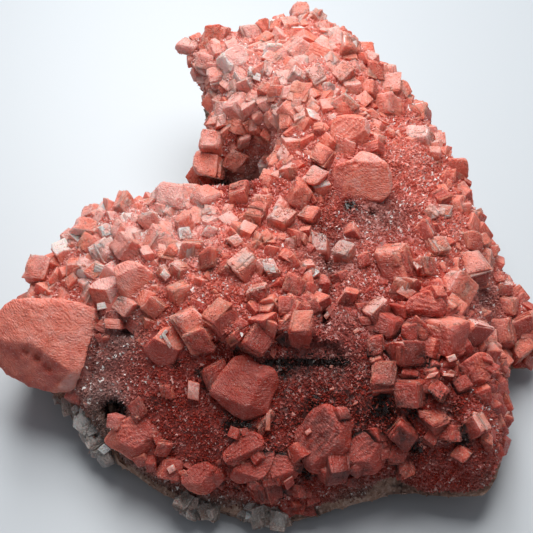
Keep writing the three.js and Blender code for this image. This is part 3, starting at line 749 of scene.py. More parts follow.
def buildCrust():
    # loops across the slab: up one side, over the top, down the other side and back underneath; what shows is
    # moved along its normals by the lumps, less each crack's depth times exp(-(distance / width)^2)
    look = crustLook
    stations = np.linspace(0.0, 1.0, look["along"] + 1)
    bay, outer = catmullRom(bayKnots, stations), catmullRom(outerKnots, stations)
    length = np.hypot(*(outer - bay)[:, :2].T)[:, None]
    top = raised(across(bay, outer, np.repeat(sharesOf(look["across"])[None], len(stations), 0)), topHeight)
    drops = np.linspace(form["lipDrop"], 0.0, look["sideSteps"], endpoint=False)
    drops = drops[:, None] * np.array([0, 0, 1.0])
    tuck = np.minimum(form["tuckMost"], look["tuck"] / length)
    shares = tuck + (1.0 - 2.0 * tuck) * np.linspace(1.0, 0.0, look["underSteps"])
    under = raised(across(bay, outer, shares), lambda places: sunkTop(places, look))
    loops = np.concatenate([top[:, :1] - drops, top, top[:, -1:] - drops[::-1], under], axis=1)
    normals = loopNormals(loops).reshape(-1, 3)
    points = loops.reshape(-1, 3)
    shown = np.zeros(loops.shape[:2])
    shown[:, : look["across"] + 1 + 2 * look["sideSteps"]] = 1.0
    relief = lumpsOn(points, look)
    for line, height, depth, width in look["cracks"]:
        knots = pointAtHeight(*np.array(line, float).T, height)[:, :2]
        gap, _, along = nearestOnLine(points[:, :2], knots)
        share = along / (len(knots) - 1)
        ends = smooth(share * look["crackEnds"]) * smooth((1.0 - share) * look["crackEnds"])
        relief -= depth * ends * np.exp(-((gap / width) ** 2))
    points = points + normals * (relief * shown.ravel())[:, None]
    points = sinkPits(points, look["pits"])
    return closedLoops(points.reshape(loops.shape)), shown.ravel() > 0


(crustPoints, crustFaces), crustShown = buildCrust()
shownFaces = crustFaces[(crustFaces < len(crustShown)).all(1)]
shownFaces = shownFaces[crustShown[shownFaces].all(1)]


def skinValues(points, seed, toneRange):
    # tone from slow noise, raised by painted glare and lowered by painted shade in those patches, darker
    # where flat, and black with painted shade in the dark columns; growth lines along z
    look = crustLook
    flat = np.minimum(patchSum(points, "flat"), 1.0)
    tone = lerp(*toneRange, 0.5 + 0.5 * layeredNoise(points, look["toneSize"], 2, seed))
    tone = tone + patchSum(points, "glareAndShade") - look["flatDark"] * flat
    return {"tone": tone - paintedShadeSum(points), "stain": partOf(points, "stain", 1.0, look["stainMost"]),
            "rocky": partOf(points, "bareEdge", 1.0, look["rockyMost"]), "growth": points}


crust = makePiece("crustCarpet", crustPoints, crustFaces, materials["druse"],
                  skinValues(crustPoints, 11, crustLook["toneRange"]), sharpAngle=60)
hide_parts("red_calcite_crust")

# the rhombs
rhomb = {
    "angle": 101.0,            # degrees between two edges of a calcite rhomb
    "edgeShare": 0.85,         # its edge against its breadth on the sheet
    "flakyBefore": 5.0,        # mm along y; the ones in front of it are built of more and thinner plates
    "standOut": 0.06,          # how far its middle stands out of the crust, against its edge
    "leanRange": (0.15, 0.9),  # how far its nearest face leans from the eye, radians
    "rimReach": 0.35,          # how far past the rim its middle may lie, against its edge
    "toneRange": (0.12, 0.55),  # paleness of those that are given none
    "uneven": (0.86, 0.28),    # shortest an edge may be against the given one, and how much more it may be
    "noiseSize": 3.2, "noiseSpread": 40.0,  # mm, and how far apart two crystals may read the noise
    "ridgeCount": 9.0,         # ridges across half a face
    "cutRange": (0.66, 0.98),  # where a corner is cut off, against its reach
    "rimPale": 0.2, "rimFrom": 0.72, "rimOver": 0.28,  # paler edges, from which share of the way out
    "paintedTopLight": 0.36, "paintedTopFrom": 0.35,  # painted light and shade: how much paler a face is that looks up to the light, and deeper under that share
    "up": (-0.1, 0.3, 0.95),   # where that light comes from
    "faceSpread": 0.36,        # how far the faces of one crystal differ
    "unflashedShare": 0.975,          # share of faces that get no painted white flash of sheen
    # how far a random painted flash of sheen and a chosen painted sheen face raise the tone
    "paintedFlashTone": 0.55, "paintedSheenTone": 0.75,
    "glareEvensShading": 2.2,          # how far the painted glare evens out the painted top light and foot shade
    "paintedShadeDark": 0.22,        # how much of the painted black shade it takes on
    "paintedFootDark": 0.3,           # how much painted shade deepens its colour at the crust
    "footReach": 1.8,          # and up to this height over it, mm
    "stainShare": 0.4, "stainMost": 0.8, "rockyShare": 0.5, "rockyMost": 0.6,  # of the crust's patches
    "growthTilt": 0.3,         # how far the growth lines run across a face
}

# column, row and breadth of each on the sheet, then its paleness, 0 to 1, which is by chance if left out
upperRhombs = [
    (190, 47, 26, 0.55), (217, 37, 30, 0.3), (208, 62, 24, 0.45), (235, 62, 30, 0.75), (218, 78, 22, 0.5),
    (250, 35, 22, 0.7), (275, 28, 16), (292, 30, 18, 0.15), (300, 14, 26, 0.4), (317, 20, 20, 0.6),
    (272, 52, 22, 0.75), (300, 50, 26, 0.3), (350, 48, 24), (300, 97, 26, 0.15), (277, 92, 16),
    (248, 85, 18), (238, 108, 26, 0.45), (220, 102, 14), (265, 103, 16), (258, 117, 16), (272, 118, 18),
    (290, 122, 22), (345, 107, 26), (352, 88, 22), (370, 92, 22), (388, 107, 26), (370, 118, 18),
    (375, 70, 22), (400, 90, 20), (420, 112, 22), (420, 140, 26, 0.8), (437, 137, 16), (433, 154, 16),
    (455, 168, 26), (376, 140, 16), (212, 143, 26), (210, 165, 30), (243, 140, 18), (235, 160, 26),
    (200, 184, 22), (268, 165, 20, 0.9), (257, 128, 16), (270, 135, 16), (325, 158, 24), (288, 174, 16),
    (315, 178, 24), (300, 195, 30), (205, 47, 18), (262, 30, 18), (315, 18, 20), (350, 50, 24),
    (265, 90, 14), (222, 165, 12, 0.95), (268, 158, 10), (320, 130, 14), (328, 90, 14, 0.9),
    (276, 108, 9, 0.95), (289, 90, 8, 0.95),
]
leftRhombs = [
    (93, 212, 22), (125, 206, 26), (175, 197, 34), (205, 200, 24), (240, 196, 26), (262, 204, 22),
    (85, 228, 26), (120, 232, 22), (150, 222, 24), (185, 225, 26), (210, 233, 16, 0.9), (128, 250, 32),
    (160, 240, 26), (65, 252, 26), (42, 272, 32), (104, 251, 24, 0.7), (75, 268, 22), (165, 273, 14),
    (180, 270, 16), (192, 250, 22), (235, 242, 18), (256, 216, 24, 0.2), (310, 215, 20),
    (292, 243, 14, 0.4), (245, 266, 30), (228, 270, 16), (312, 272, 12, 0.85), (285, 308, 18),
    (302, 330, 30), (222, 320, 30), (190, 322, 30), (179, 293, 20), (155, 308, 24), (198, 342, 30),
    (170, 390, 16), (215, 375, 26), (367, 455, 36), (205, 478, 34), (240, 445, 26), (250, 465, 32),
    (282, 462, 26), (268, 490, 26), (298, 490, 16), (308, 508, 16), (139, 408, 20), (165, 448, 18),
    (170, 467, 22), (105, 233, 16, 0.8), (185, 236, 14, 0.95), (86, 272, 18), (75, 282, 16),
    (103, 305, 14, 0.95), (250, 220, 16), (303, 240, 12), (295, 308, 24), (310, 308, 16),
]
rightRhombs = [
    (345, 255, 22, 0.8), (352, 232, 18), (340, 278, 14), (395, 262, 38), (365, 262, 18), (349, 297, 20),
    (422, 268, 20), (435, 250, 22), (424, 233, 24), (445, 215, 18), (440, 200, 20), (468, 243, 26),
    (470, 270, 32), (455, 290, 30, 0.75), (405, 290, 26, 0.7), (425, 305, 36), (410, 330, 20),
    (390, 325, 24), (375, 345, 20), (405, 354, 34), (445, 335, 36), (473, 332, 28), (450, 355, 9, 0.98),
    (378, 360, 14), (385, 380, 30), (412, 392, 28), (460, 387, 20), (470, 365, 34), (405, 430, 30),
    (450, 432, 20), (485, 440, 16), (404, 468, 22), (462, 453, 16), (350, 480, 14), (503, 420, 16),
    (500, 335, 30), (523, 325, 28), (508, 305, 20), (520, 350, 24), (503, 288, 18), (478, 215, 14),
    (490, 252, 16), (432, 228, 14), (430, 213, 16, 0.7), (458, 200, 12), (418, 328, 22),
    (432, 373, 12, 0.95), (450, 375, 12, 0.9), (430, 437, 18), (398, 455, 20), (483, 315, 14),
]
# the ones that stand out most: nearest corner, its three edges as columns, rows and mm away from the
# eye, its paleness, and which of its near faces is painted whiter as the sheen of the light: 0, 1 or 2, the
# one that edge runs away from
chosenRhombs = {
    "block behind it": [(360, 170), (24, 8, 3.0), (0, -15, 3.0), (6, 4, 8.0), 0.4],
    "white sliver": [(258, 429), (13, -20, 1.0), (5, 6, 1.0), (-3, -2, 3.0), 0.97],
    "crown": [(285, 223), (-18, -6, 2.5), (13, -12, 4.0), (-1, 14, 3.5), 0.45],
    "right roof": [(452, 291), (-10, -2, 3.0), (14, -9, 4.0), (3, 9, 4.0), 0.25, 2],
    "split roof": [(415, 270), (-4, -8, 3.0), (9, -7, 3.0), (3, 9, 4.0), 0.35, 2],
    "ridge end": [(487, 268), (-9, -4, 3.0), (4, -20, 3.0), (5, 10, 4.0), 0.4, 1],
    "frosted tile": [(311, 279), (-8, -5, 0.7), (9, -7, 0.7), (1, 2, 2.0), 1.0, 2],
    "upper white end": [(427, 150), (-9, -3, 2.0), (2, -20, 2.0), (7, 3, 4.0), 0.6, 2],
    "ledge keeper": [(244, 342), (13, -20, 2.5), (19, 14, 2.5), (-7, 3, 6.0), 0.3],
    "squared": [(281, 289), (7, -18, 2.0), (19, 9, 1.5), (2, 6, 6.0), 0.35],
    "tall white": [(312, 250), (-1, -19, 2.0), (15, 1, 2.0), (5, 12, 4.0), 0.55, 2],
    "white-capped": [(266, 271), (-6, -12, 2.5), (13, -1, 2.0), (4, 14, 2.5), 0.45, 2],
    "two-faced": [(212, 246), (-15, 7, 3.0), (10, 4, 5.0), (1, 19, 1.0), 0.25],
    "dark front": [(246, 293), (19, -6, 1.0), (2, 12, 1.5), (4, -7, 5.0), 0.15, 1],
    "white roof": [(370, 315), (-9, -5, 5.0), (17, -15, 3.0), (6, 15, 2.5), 0.35, 2],
    "right corner": [(479, 430), (-9, -17, 2.0), (-10, 11, 4.0), (13, -2, 4.5), 0.2, 1],
    "maroon": [(440, 400), (-14, -12, 1.5), (9, -11, 3.0), (2, 4, 6.0), 0.1],
    "combed": [(431, 424), (-15, -12, 3.5), (20, -7, 3.0), (3, 13, 3.0), 0.5],
    "upper three-faced": [(293, 72), (-9, 11, 2.5), (2, -9, 4.5), (13, 9, 2.5), 0.65],
    "upper white": [(248, 76), (1, -12, 2.0), (14, 4, 1.5), (-2, 6, 4.0), 0.92],
    "upper salmon": [(313, 90), (-10, -20, 3.0), (15, -10, 4.5), (2, 6, 6.5), 0.4],
    "upper right": [(340, 84), (-11, -12, 4.0), (15, -15, 3.0), (3, 9, 5.0), 0.45],
    "upper orange": [(216, 129), (1, -14, 2.0), (11, -3, 2.0), (-2, 4, 4.0), 0.02],
    "upper lozenge": [(283, 167), (-8, -11, 2.0), (7, -13, 2.0), (3, 3, 4.5), 0.7],
}
# and the largest, by the outline of each on the sheet and by its faces: a square each goes through, its
# height there in mm, which way it falls in degrees from the right, how steeply, and its paleness, which
# paints light and shade: faces that the light falls on are set paler, those turned away deeper; dents
# are given by column, row, radius and depth, front is how far it stands out and depth how far it goes in
carvedCrystals = {
    "corner": {
        "outline": [(24, 299), (38, 299), (55, 298), (70, 300), (85, 304), (95, 308), (99, 314), (98, 322),
                    (94, 330), (93, 339), (89, 353), (85, 366), (80, 377), (76, 385), (68, 389), (56, 390),
                    (45, 388), (30, 384), (16, 377), (7, 372), (0, 362), (-4, 345), (-2, 328), (2, 316),
                    (8, 306), (15, 302)],
        "faces": [(60, 335, 0.0, 60, 9, 0.46), (28, 322, -0.8, 150, 18, 0.42),
                  (60, 306, -0.6, 92, 26, 0.52), (30, 354, -1.3, 232, 26, 0.16),
                  (93, 345, -0.9, 2, 48, 0.8), (68, 382, -1.8, 268, 34, 0.85),
                  (88, 312, -0.9, 45, 30, 0.6)],
        "dents": [(41, 356, 1.2, 2.2), (31, 350, 1.1, 1.5), (52, 366, 1.2, 1.2), (20, 356, 1.0, 0.7),
                  (62, 378, 1.0, 0.8)],
        "front": 8.5, "depth": 9.0, "ripple": 0.16, "terrace": 0.0,
    },
    "stepped block": {
        "outline": [(337, 166), (333, 170), (329, 183), (330, 191), (344, 202), (359, 204), (373, 206),
                    (386, 198), (390, 187), (391, 177), (383, 162), (373, 155), (360, 153), (352, 160),
                    (345, 163)],
        "faces": [(366, 162, 0.4, 82, 32, 0.72), (362, 182, 0.0, 290, 8, 0.45),
                  (340, 180, -0.4, 186, 40, 0.25), (388, 182, -0.6, 0, 46, 0.75),
                  (360, 200, -0.8, 270, 50, 0.3)],
        "dents": [(354, 165, 0.7, 0.8), (349, 190, 0.8, 0.4)],
        "front": 4.2, "depth": 5.0, "ripple": 0.1, "terrace": 0.22,
    },
    "ridged dome": {
        "outline": [(330, 128), (333, 121), (338, 117), (346, 115), (359, 116), (366, 120), (370, 128),
                    (368, 139), (363, 148), (355, 151), (346, 152), (337, 150), (331, 140)],
        "faces": [(346, 127, 0.0, 130, 12, 0.42), (358, 143, -0.5, 300, 34, 0.35),
                  (368, 130, -0.6, 10, 50, 0.85), (335, 146, -0.7, 238, 40, 0.25),
                  (346, 118, -0.5, 95, 42, 0.48)],
        "dents": [],
        "front": 3.6, "depth": 4.5, "ripple": 0.12, "terrace": 0.3,
    },
    "orange lozenge": {
        "outline": [(213, 390), (219, 379), (226, 369), (233, 360), (241, 357), (249, 358), (257, 364),
                    (271, 369), (276, 379), (276, 387), (270, 399), (265, 411), (258, 417), (251, 420),
                    (243, 418), (232, 411), (222, 402)],
        "faces": [(240, 380, 0.0, 120, 13, 0.55), (225, 398, -0.5, 236, 42, 0.16),
                  (264, 386, -0.5, -12, 34, 0.42), (252, 411, -1.0, 285, 42, 0.22),
                  (262, 368, -1.1, 62, 40, 0.25)],
        "dents": [(260, 372, 0.8, 0.4)],
        "front": 4.4, "depth": 5.5, "ripple": 0.12, "terrace": 0.0,
    },
    "furrowed lozenge": {
        "outline": [(314, 410), (324, 405), (333, 408), (341, 413), (352, 424), (349, 431), (349, 439),
                    (347, 447), (339, 456), (331, 464), (323, 471), (314, 469), (307, 465), (302, 455),
                    (299, 446), (297, 438), (298, 431), (305, 421)],
        "faces": [(318, 430, 0.0, 150, 14, 0.1), (335, 452, -0.6, 305, 38, 0.42),
                  (304, 456, -0.9, 212, 42, 0.04), (340, 418, -0.7, 52, 32, 0.34),
                  (345, 436, -0.9, -5, 46, 0.4)],
        "dents": [(322, 436, 0.9, 0.5), (311, 449, 0.8, 0.5)],
        "front": 4.4, "depth": 5.0, "ripple": 0.2, "terrace": 0.5,
    },
    "left three-faced": {
        "outline": [(90, 288), (97, 281), (108, 277), (118, 276), (121, 288), (123, 300), (119, 306),
                    (116, 311), (110, 314), (102, 309), (95, 303), (91, 295)],
        "faces": [(107, 290, 0.0, 100, 44, 0.85), (107, 290, 0.0, -16, 30, 0.95),
                  (107, 290, 0.0, 234, 30, 0.12)],
        "dents": [],
        "front": 3.4, "depth": 4.0, "ripple": 0.06, "terrace": 0.0,
    },
    "left round": {
        "outline": [(116, 268), (126, 262), (135, 262), (144, 266), (151, 272), (155, 280), (152, 287),
                    (148, 293), (140, 298), (131, 301), (123, 298), (119, 288), (117, 277)],
        "faces": [(134, 278, 0.0, 300, 12, 0.4), (146, 284, -0.5, -30, 34, 0.32),
                  (128, 267, -0.4, 110, 34, 0.45), (126, 293, -0.7, 235, 38, 0.25)],
        "dents": [],
        "front": 3.0, "depth": 4.0, "ripple": 0.14, "terrace": 0.0,
    },
    "white-barred": {
        "outline": [(145, 349), (151, 342), (158, 335), (163, 329), (174, 327), (184, 329), (194, 338),
                    (190, 346), (184, 355), (176, 362), (168, 365), (160, 365), (152, 358)],
        "faces": [(166, 345, 0.0, 245, 26, 0.06), (168, 343, 0.0, 62, 30, 0.72),
                  (182, 350, -1.0, -42, 52, 0.1)],
        "dents": [],
        "front": 3.6, "depth": 4.0, "ripple": 0.08, "terrace": 0.0,
    },
    "lower left": {
        "outline": [(105, 440), (112, 431), (119, 423), (128, 418), (140, 414), (150, 420), (158, 428),
                    (162, 436), (155, 444), (150, 452), (141, 458), (131, 458), (119, 450), (110, 446)],
        "faces": [(136, 430, 0.0, 100, 16, 0.3), (118, 437, -0.4, 190, 36, 0.6),
                  (148, 446, -0.6, -50, 40, 0.2), (128, 450, -0.8, 240, 44, 0.5)],
        "dents": [(147, 440, 0.8, 0.6)],
        "front": 3.4, "depth": 4.0, "ripple": 0.2, "terrace": 0.5,
    },
    "leaning slab": {
        "outline": [(224, 454), (233, 443), (243, 434), (253, 432), (262, 437), (261, 447), (252, 455),
                    (240, 461), (229, 462)],
        "faces": [(243, 445, 0.0, 125, 26, 0.2), (250, 454, -0.4, 290, 46, 0.06)],
        "dents": [],
        "front": 2.8, "depth": 3.0, "ripple": 0.16, "terrace": 0.4,
    },
    "dark slab": {
        "outline": [(231, 476), (238, 462), (247, 452), (260, 449), (272, 453), (270, 465), (262, 475),
                    (248, 481), (238, 482)],
        "faces": [(252, 464, 0.0, 110, 28, 0.1), (244, 476, -0.4, 235, 40, 0.32)],
        "dents": [],
        "front": 2.8, "depth": 3.0, "ripple": 0.16, "terrace": 0.4,
    },
    "humped pair": {
        "outline": [(271, 470), (274, 458), (283, 451), (294, 455), (298, 463), (297, 474), (288, 482),
                    (277, 481)],
        "faces": [(285, 464, 0.0, 80, 22, 0.22), (290, 474, -0.5, 300, 42, 0.3)],
        "dents": [(280, 470, 0.6, 0.4)],
        "front": 2.6, "depth": 3.0, "ripple": 0.16, "terrace": 0.4,
    },
    "striated lump": {
        "outline": [(350, 441), (356, 434), (365, 432), (374, 435), (382, 442), (386, 452), (383, 463),
                    (375, 471), (364, 473), (354, 469), (348, 460), (346, 450)],
        "faces": [(362, 446, 0.0, 120, 18, 0.2), (376, 456, -0.5, -20, 38, 0.36),
                  (362, 466, -0.7, 265, 38, 0.16)],
        "dents": [(370, 447, 0.7, 0.5)],
        "front": 3.4, "depth": 4.0, "ripple": 0.2, "terrace": 0.45,
    },
    "rough block": {
        "outline": [(406, 305), (412, 296), (424, 292), (434, 292), (441, 300), (445, 310), (441, 319),
                    (430, 324), (417, 324), (408, 318)],
        "faces": [(424, 302, 0.0, 80, 20, 0.5), (424, 316, -0.5, 275, 34, 0.2),
                  (440, 312, -0.6, -20, 44, 0.34)],
        "dents": [(428, 309, 0.7, 0.5)],
        "front": 3.2, "depth": 4.0, "ripple": 0.3, "terrace": 0.5,
    },
    "right ridge": {
        "outline": [(452, 379), (458, 366), (468, 358), (478, 353), (488, 356), (492, 366), (488, 377),
                    (478, 386), (466, 395), (458, 398), (453, 390)],
        "faces": [(464, 380, 0.0, 200, 26, 0.16), (478, 366, 0.0, 30, 24, 0.62),
                  (474, 386, -0.8, 290, 44, 0.3)],
        "dents": [(470, 366, 0.7, 0.5)],
        "front": 3.2, "depth": 4.0, "ripple": 0.25, "terrace": 0.5,
    },
    "lower left block": {
        "outline": [(182, 478), (188, 470), (197, 464), (206, 461), (213, 466), (219, 474), (217, 484),
                    (210, 491), (200, 493), (189, 488)],
        "faces": [(198, 473, 0.0, 130, 20, 0.22), (210, 482, -0.5, -30, 34, 0.4),
                  (196, 487, -0.7, 255, 36, 0.62)],
        "dents": [(204, 470, 0.6, 0.4)],
        "front": 3.2, "depth": 4.0, "ripple": 0.2, "terrace": 0.45,
    },
}
# small cleaved faces that catch the light: column and row of a corner, two edges as columns and rows,
# how far they stand out of the crust towards the eye, and paleness, high enough that the face to the eye
# is painted white as a glint
chips = [
    (157.5, 339.5, 9, -11, 3.5, 1.5, 5.6, 1.5), (162, 333, 8.5, 14.5, 3, -2.5, 5.6, 1.5),
    (187, 398, 12, 3, 1, -18, 3.4, 1.2), (202, 419, 14, -11, 1.5, 2.5, 0.9, 0.85),
    (167, 466, 7, -4, 3, 6, 4.4, 1.3), (159, 274, 5.5, -6, 7, 7.5, 3.2, 1.2),
    (96, 303, 10, -2, 2, 7, 2.4, 1.35), (323, 316, 4, -5, 3, 4, 1.6, 1.5),
    (334, 318, 1.5, 0, 2, 11, 1.0, 1.4), (352, 331, 5, -3, 2, 3, 1.4, 1.4),
    (394, 292, 9, -9, 13, 8, 3.4, 0.9), (444, 356, 8.5, -3, 2.5, 5.5, 4.6, 1.5),
    (428, 373, 9, -2, -4, 5, 3.2, 1.4), (442, 372, 11, 1, -1, 3, 3.2, 1.3),
    (416, 408, 12, 3, 2, 8, 3.6, 0.95), (304, 430, 5, -4, 2, 4, 4.9, 1.1),
    (325, 429, 2.5, 1, -1, 4, 4.9, 1.4), (266, 411, 5, 0, -1, 18, 3.4, 1.35),
    (329, 388, 5, -1, 0, 3, 1.2, 1.5), (352, 404, 5, -3, 1, 1.5, 1.0, 1.4),
    (377, 403, 2, 0, -2, 5, 1.0, 1.4), (353, 162, 9, 3, 1, 2, 4.6, 1.4), (363, 166, 9, 6, 1, -3, 4.6, 1.4),
    (247, 290, 17, -5, 1.5, 3, 3.6, 1.2), (330, 364, 3, 1, -1, 3, 1.4, 1.4),
    (262, 262, 12, 2, 2, 9, 4.0, 1.5), (347, 247, 6, -2, 2, 8, 3.4, 1.2),
    (282, 148, 9, 2, -3, 10, 2.8, 1.0), (254, 72, 9, 4, -2, 9, 3.8, 1.1), (470, 414, 4, 1, 2, -3, 3.0, 1.4),
]
# mm that each reaches into the crust and may lie past the rim, and its face painted white as a glint, the one
# to the eye
chipLook = {"root": 1.6, "rimReach": 3.0, "paintedGlintFace": 2}

halfAngle = math.radians(rhomb["angle"]) / 2
thirdTilt = math.cos(2 * halfAngle) / math.cos(halfAngle)
rhombEdges = np.array([
    [math.cos(halfAngle), math.cos(halfAngle), thirdTilt],
    [-math.sin(halfAngle), math.sin(halfAngle), 0.0],
    [0.0, 0.0, math.sqrt(1.0 - thirdTilt ** 2)],
])  # its three edges as columns
viewBasis = np.stack([sheetRight, sheetUp, toEye], 1)


def turnAbout(axis, angle):
    # one rotation matrix for each angle
    c, s, o, i = np.cos(angle), np.sin(angle), np.zeros_like(angle), np.ones_like(angle)
    cells = {"y": (c, o, s, o, i, o, -s, o, c), "z": (c, -s, o, s, c, o, o, o, i)}[axis]
    return np.stack(cells, -1).reshape(-1, 3, 3)


def turnOf(lean, toward, spin, basis):
    # a rhomb's edges after a spin in its own plane, a lean, and a turn of that lean about the third axis
    return basis @ turnAbout("z", toward) @ turnAbout("y", lean) @ turnAbout("z", spin) @ rhombEdges


def onSheet(columns, rows):
    # a step on the sheet as one in mm
    return sheet["square"] * (columns[..., None] * sheetRight - rows[..., None] * sheetUp)


def standing(columns, rows, edge):
    # middles on the crust, each moved towards the eye by a share of its edge
    seat = seatOf(columns, rows, edge * rhomb["rimReach"])
    return seat + toEye * (rhomb["standOut"] * edge)[:, None]


def byChance(number):
    # lean, toward and spin in radians, always the same for the same number
    return np.array([lerp(*rhomb["leanRange"], chance(number + 0.3)), 2 * math.pi * chance(number + 0.5),
                     2 * math.pi * chance(number + 0.7)])


def listed(lines):
    # centre, half edges and tone of every rhomb in a list
    table = np.full((len(lines), 4), np.nan)
    for row, line in zip(table, lines):
        row[: len(line)] = line
    number = np.arange(len(lines))
    edge = table[:, 2] * sheet["square"] * rhomb["edgeShare"]
    tone = np.where(np.isnan(table[:, 3]), lerp(*rhomb["toneRange"], chance(number + 0.9)), table[:, 3])
    shortest, longer = rhomb["uneven"]
    uneven = shortest + longer * chance(number[:, None, None] * 3.1 + np.arange(3))
    edges = turnOf(*byChance(number), viewBasis) * uneven * (edge / 2)[:, None, None]
    return {"centre": standing(table[:, 0], table[:, 1], edge), "edges": edges, "tone": tone, "edge": edge,
            "paintedSheenFace": np.full(len(lines), -1)}


def chosen(blocks):
    # the same for rhombs given by their nearest corner and three edges: the middle is seated, the rest goes
    # along with it
    corner = np.array([b[0] for b in blocks], float)
    steps = np.array([b[1:4] for b in blocks], float)
    middle = corner + steps[:, :, :2].sum(1) / 2
    edges = onSheet(steps[..., 0], steps[..., 1]) - steps[..., 2:] * toEye
    edge = np.linalg.norm(edges, axis=2).mean(1)
    return {"centre": standing(middle[:, 0], middle[:, 1], edge), "edges": np.swapaxes(edges, 1, 2) / 2,
            "tone": np.array([b[4] for b in blocks]), "edge": edge,
            "paintedSheenFace": np.array([b[5] if len(b) > 5 else -1 for b in blocks])}


def chipSet():
    # prisms down a sight line: a corner lifted from the crust towards the eye, the foot a little inside it
    table = np.array(chips, float)
    lifted = table[:, 6:7]
    corner = seatOf(table[:, 0], table[:, 1], chipLook["rimReach"]) + toEye * lifted
    first, second = onSheet(table[:, 2], table[:, 3]), onSheet(table[:, 4], table[:, 5])
    third = -toEye * (lifted + chipLook["root"])
    return {"centre": corner + (first + second + third) / 2, "edges": np.stack([first, second, third], 2) / 2,
            "tone": table[:, 7] - rhomb["paintedSheenTone"], "edge": np.linalg.norm(first + second, axis=1) / 2,
            "paintedSheenFace": np.full(len(table), chipLook["paintedGlintFace"])}


def joinSets(*sets):
    # sets one after another, with what the first of them holds
    return {key: np.concatenate([s[key] for s in sets]) for key in sets[0]}


def pick(crystals, keep):
    # the crystals that keep is true for
    return {key: value[keep] for key, value in crystals.items()}


offspring = {
    "companions": {"corner": (0.3, 0.95), "overhang": 1.08, "toneSpread": 0.12},
    "outgrowths": {"ring": 0.95, "rise": (-0.1, 0.75), "size": (0.2, 0.42), "lean": (0.2, 1.1), "sway": 0.6,
                   "tone": (0.05, 0.45)},
    "plates": {"breadth": (0.74, 1.1), "shift": (-0.1, 0.1), "along": (-0.9, 0.92), "toneSpread": 0.07},
}


def carriedOut(crystals, shares):
    # points at shares of the three half edges from each middle
    return crystals["centre"] + np.einsum("nij,nj->ni", crystals["edges"], shares)


def tipped(rng, turned, n):
    # small turns about two axes, their angles drawn from a bell curve
    return turnAbout("z", rng.normal(0, turned, n)) @ turnAbout("y", rng.normal(0, turned, n))


def companions(crystals, each, seed, share=(0.4, 0.84), turned=0.14):
    # smaller rhombs on a rhomb's corners, nearly in line with it: shifted along its edges, tipped a little
    look = offspring["companions"]
    rng = np.random.default_rng(seed)
    made = []
    for _ in range(each):
        n = len(crystals["edge"])
        size = rng.uniform(*share, n)
        corner = rng.choice([-1.0, 1.0], (n, 3)) * rng.uniform(*look["corner"], (n, 3))
        tip = tipped(rng, turned, n)
        made.append({
            "centre": carriedOut(crystals, corner * (look["overhang"] - size)[:, None]),
            "edges": tip @ crystals["edges"] * size[:, None, None],
            "tone": np.clip(crystals["tone"] + rng.normal(0, look["toneSpread"], n), 0.0, 1.0),
            "edge": crystals["edge"] * size,
            "paintedSheenFace": crystals["paintedSheenFace"],
        })
    return joinSets(*made)


def outgrowths(boxes, each, seed):
    # rhombs of their own leaning round the foot of each large crystal
    look = offspring["outgrowths"]
    rng = np.random.default_rng(seed)
    made = []
    for _ in range(each):
        n = len(boxes["edge"])
        turn = rng.uniform(0, 2 * math.pi, n)
        corner = np.stack([np.cos(turn) * look["ring"], np.sin(turn) * look["ring"],
                           rng.uniform(*look["rise"], n)], 1)
        edge = boxes["edge"] * rng.uniform(*look["size"], n)
        turned = turnOf(rng.uniform(*look["lean"], n), turn + rng.normal(0, look["sway"], n),
                        rng.uniform(0, 2 * math.pi, n), viewBasis)
        made.append({
            "centre": carriedOut(boxes, corner), "edges": turned * (edge / 2)[:, None, None],
            "tone": rng.uniform(*look["tone"], n), "edge": edge, "paintedSheenFace": np.full(n, -1),
        })
    return joinSets(*made)


def plates(crystals, each, seed, thick=(0.08, 0.2), turned=0.03):
    # thin plates stacked through a rhomb along its third edge, each a little wider or narrower than it
    look = offspring["plates"]
    rng = np.random.default_rng(seed)
    made = []
    for _ in range(each):
        n = len(crystals["edge"])
        share = np.stack([rng.uniform(*look["breadth"], n), rng.uniform(*look["breadth"], n),
                          rng.uniform(*thick, n)], 1)
        shift = np.stack([rng.uniform(*look["shift"], n), rng.uniform(*look["shift"], n),
                          rng.uniform(*look["along"], n)], 1)
        tip = tipped(rng, turned, n)
        made.append({
            "centre": carriedOut(crystals, shift),
            "edges": tip @ (crystals["edges"] * share[:, None, :]),
            "tone": np.clip(crystals["tone"] + rng.normal(0, look["toneSpread"], n), 0.0, 1.0),
            "edge": crystals["edge"],
            "paintedSheenFace": crystals["paintedSheenFace"],
        })
    return joinSets(*made)


def insideAny(points, crystals, scale):
    # true where a point lies within any of the rhombs, each grown by scale
    inside = np.zeros(len(points), bool)
    for centre, edges in zip(crystals["centre"], crystals["edges"]):
        reach = np.linalg.norm(edges, axis=0).sum() * scale
        near = np.flatnonzero(np.abs(points - centre).max(1) < reach)
        local = (points[near] - centre) @ np.linalg.inv(edges).T
        inside[near[np.abs(local).max(1) < scale]] = True
    return inside


def scatter(points, faces, count, rng):
    # places spread by area over triangles, (1 - u) a + u (1 - v) b + u v c with u the root of a chance
    # number, and the surface's direction at each
    a, b, c = (points[faces[:, k]] for k in range(3))
    normal = np.cross(b - a, c - a)
    size = np.linalg.norm(normal, axis=1)
    face = rng.choice(len(faces), count, p=size / size.sum())
    u, v = rng.random((2, count))
    u = np.sqrt(u)
    place = (1 - u)[:, None] * a[face] + (u * (1 - v))[:, None] * b[face] + (u * v)[:, None] * c[face]
    return place, unit(normal[face])


def basisOn(normals):
    # a frame on the surface with its third axis outwards, its first square to a direction that no face has
    side = unit(np.cross(np.array([0.31, 0.95, 0.05]), normals))
    return np.stack([side, np.cross(normals, side), normals], -1)


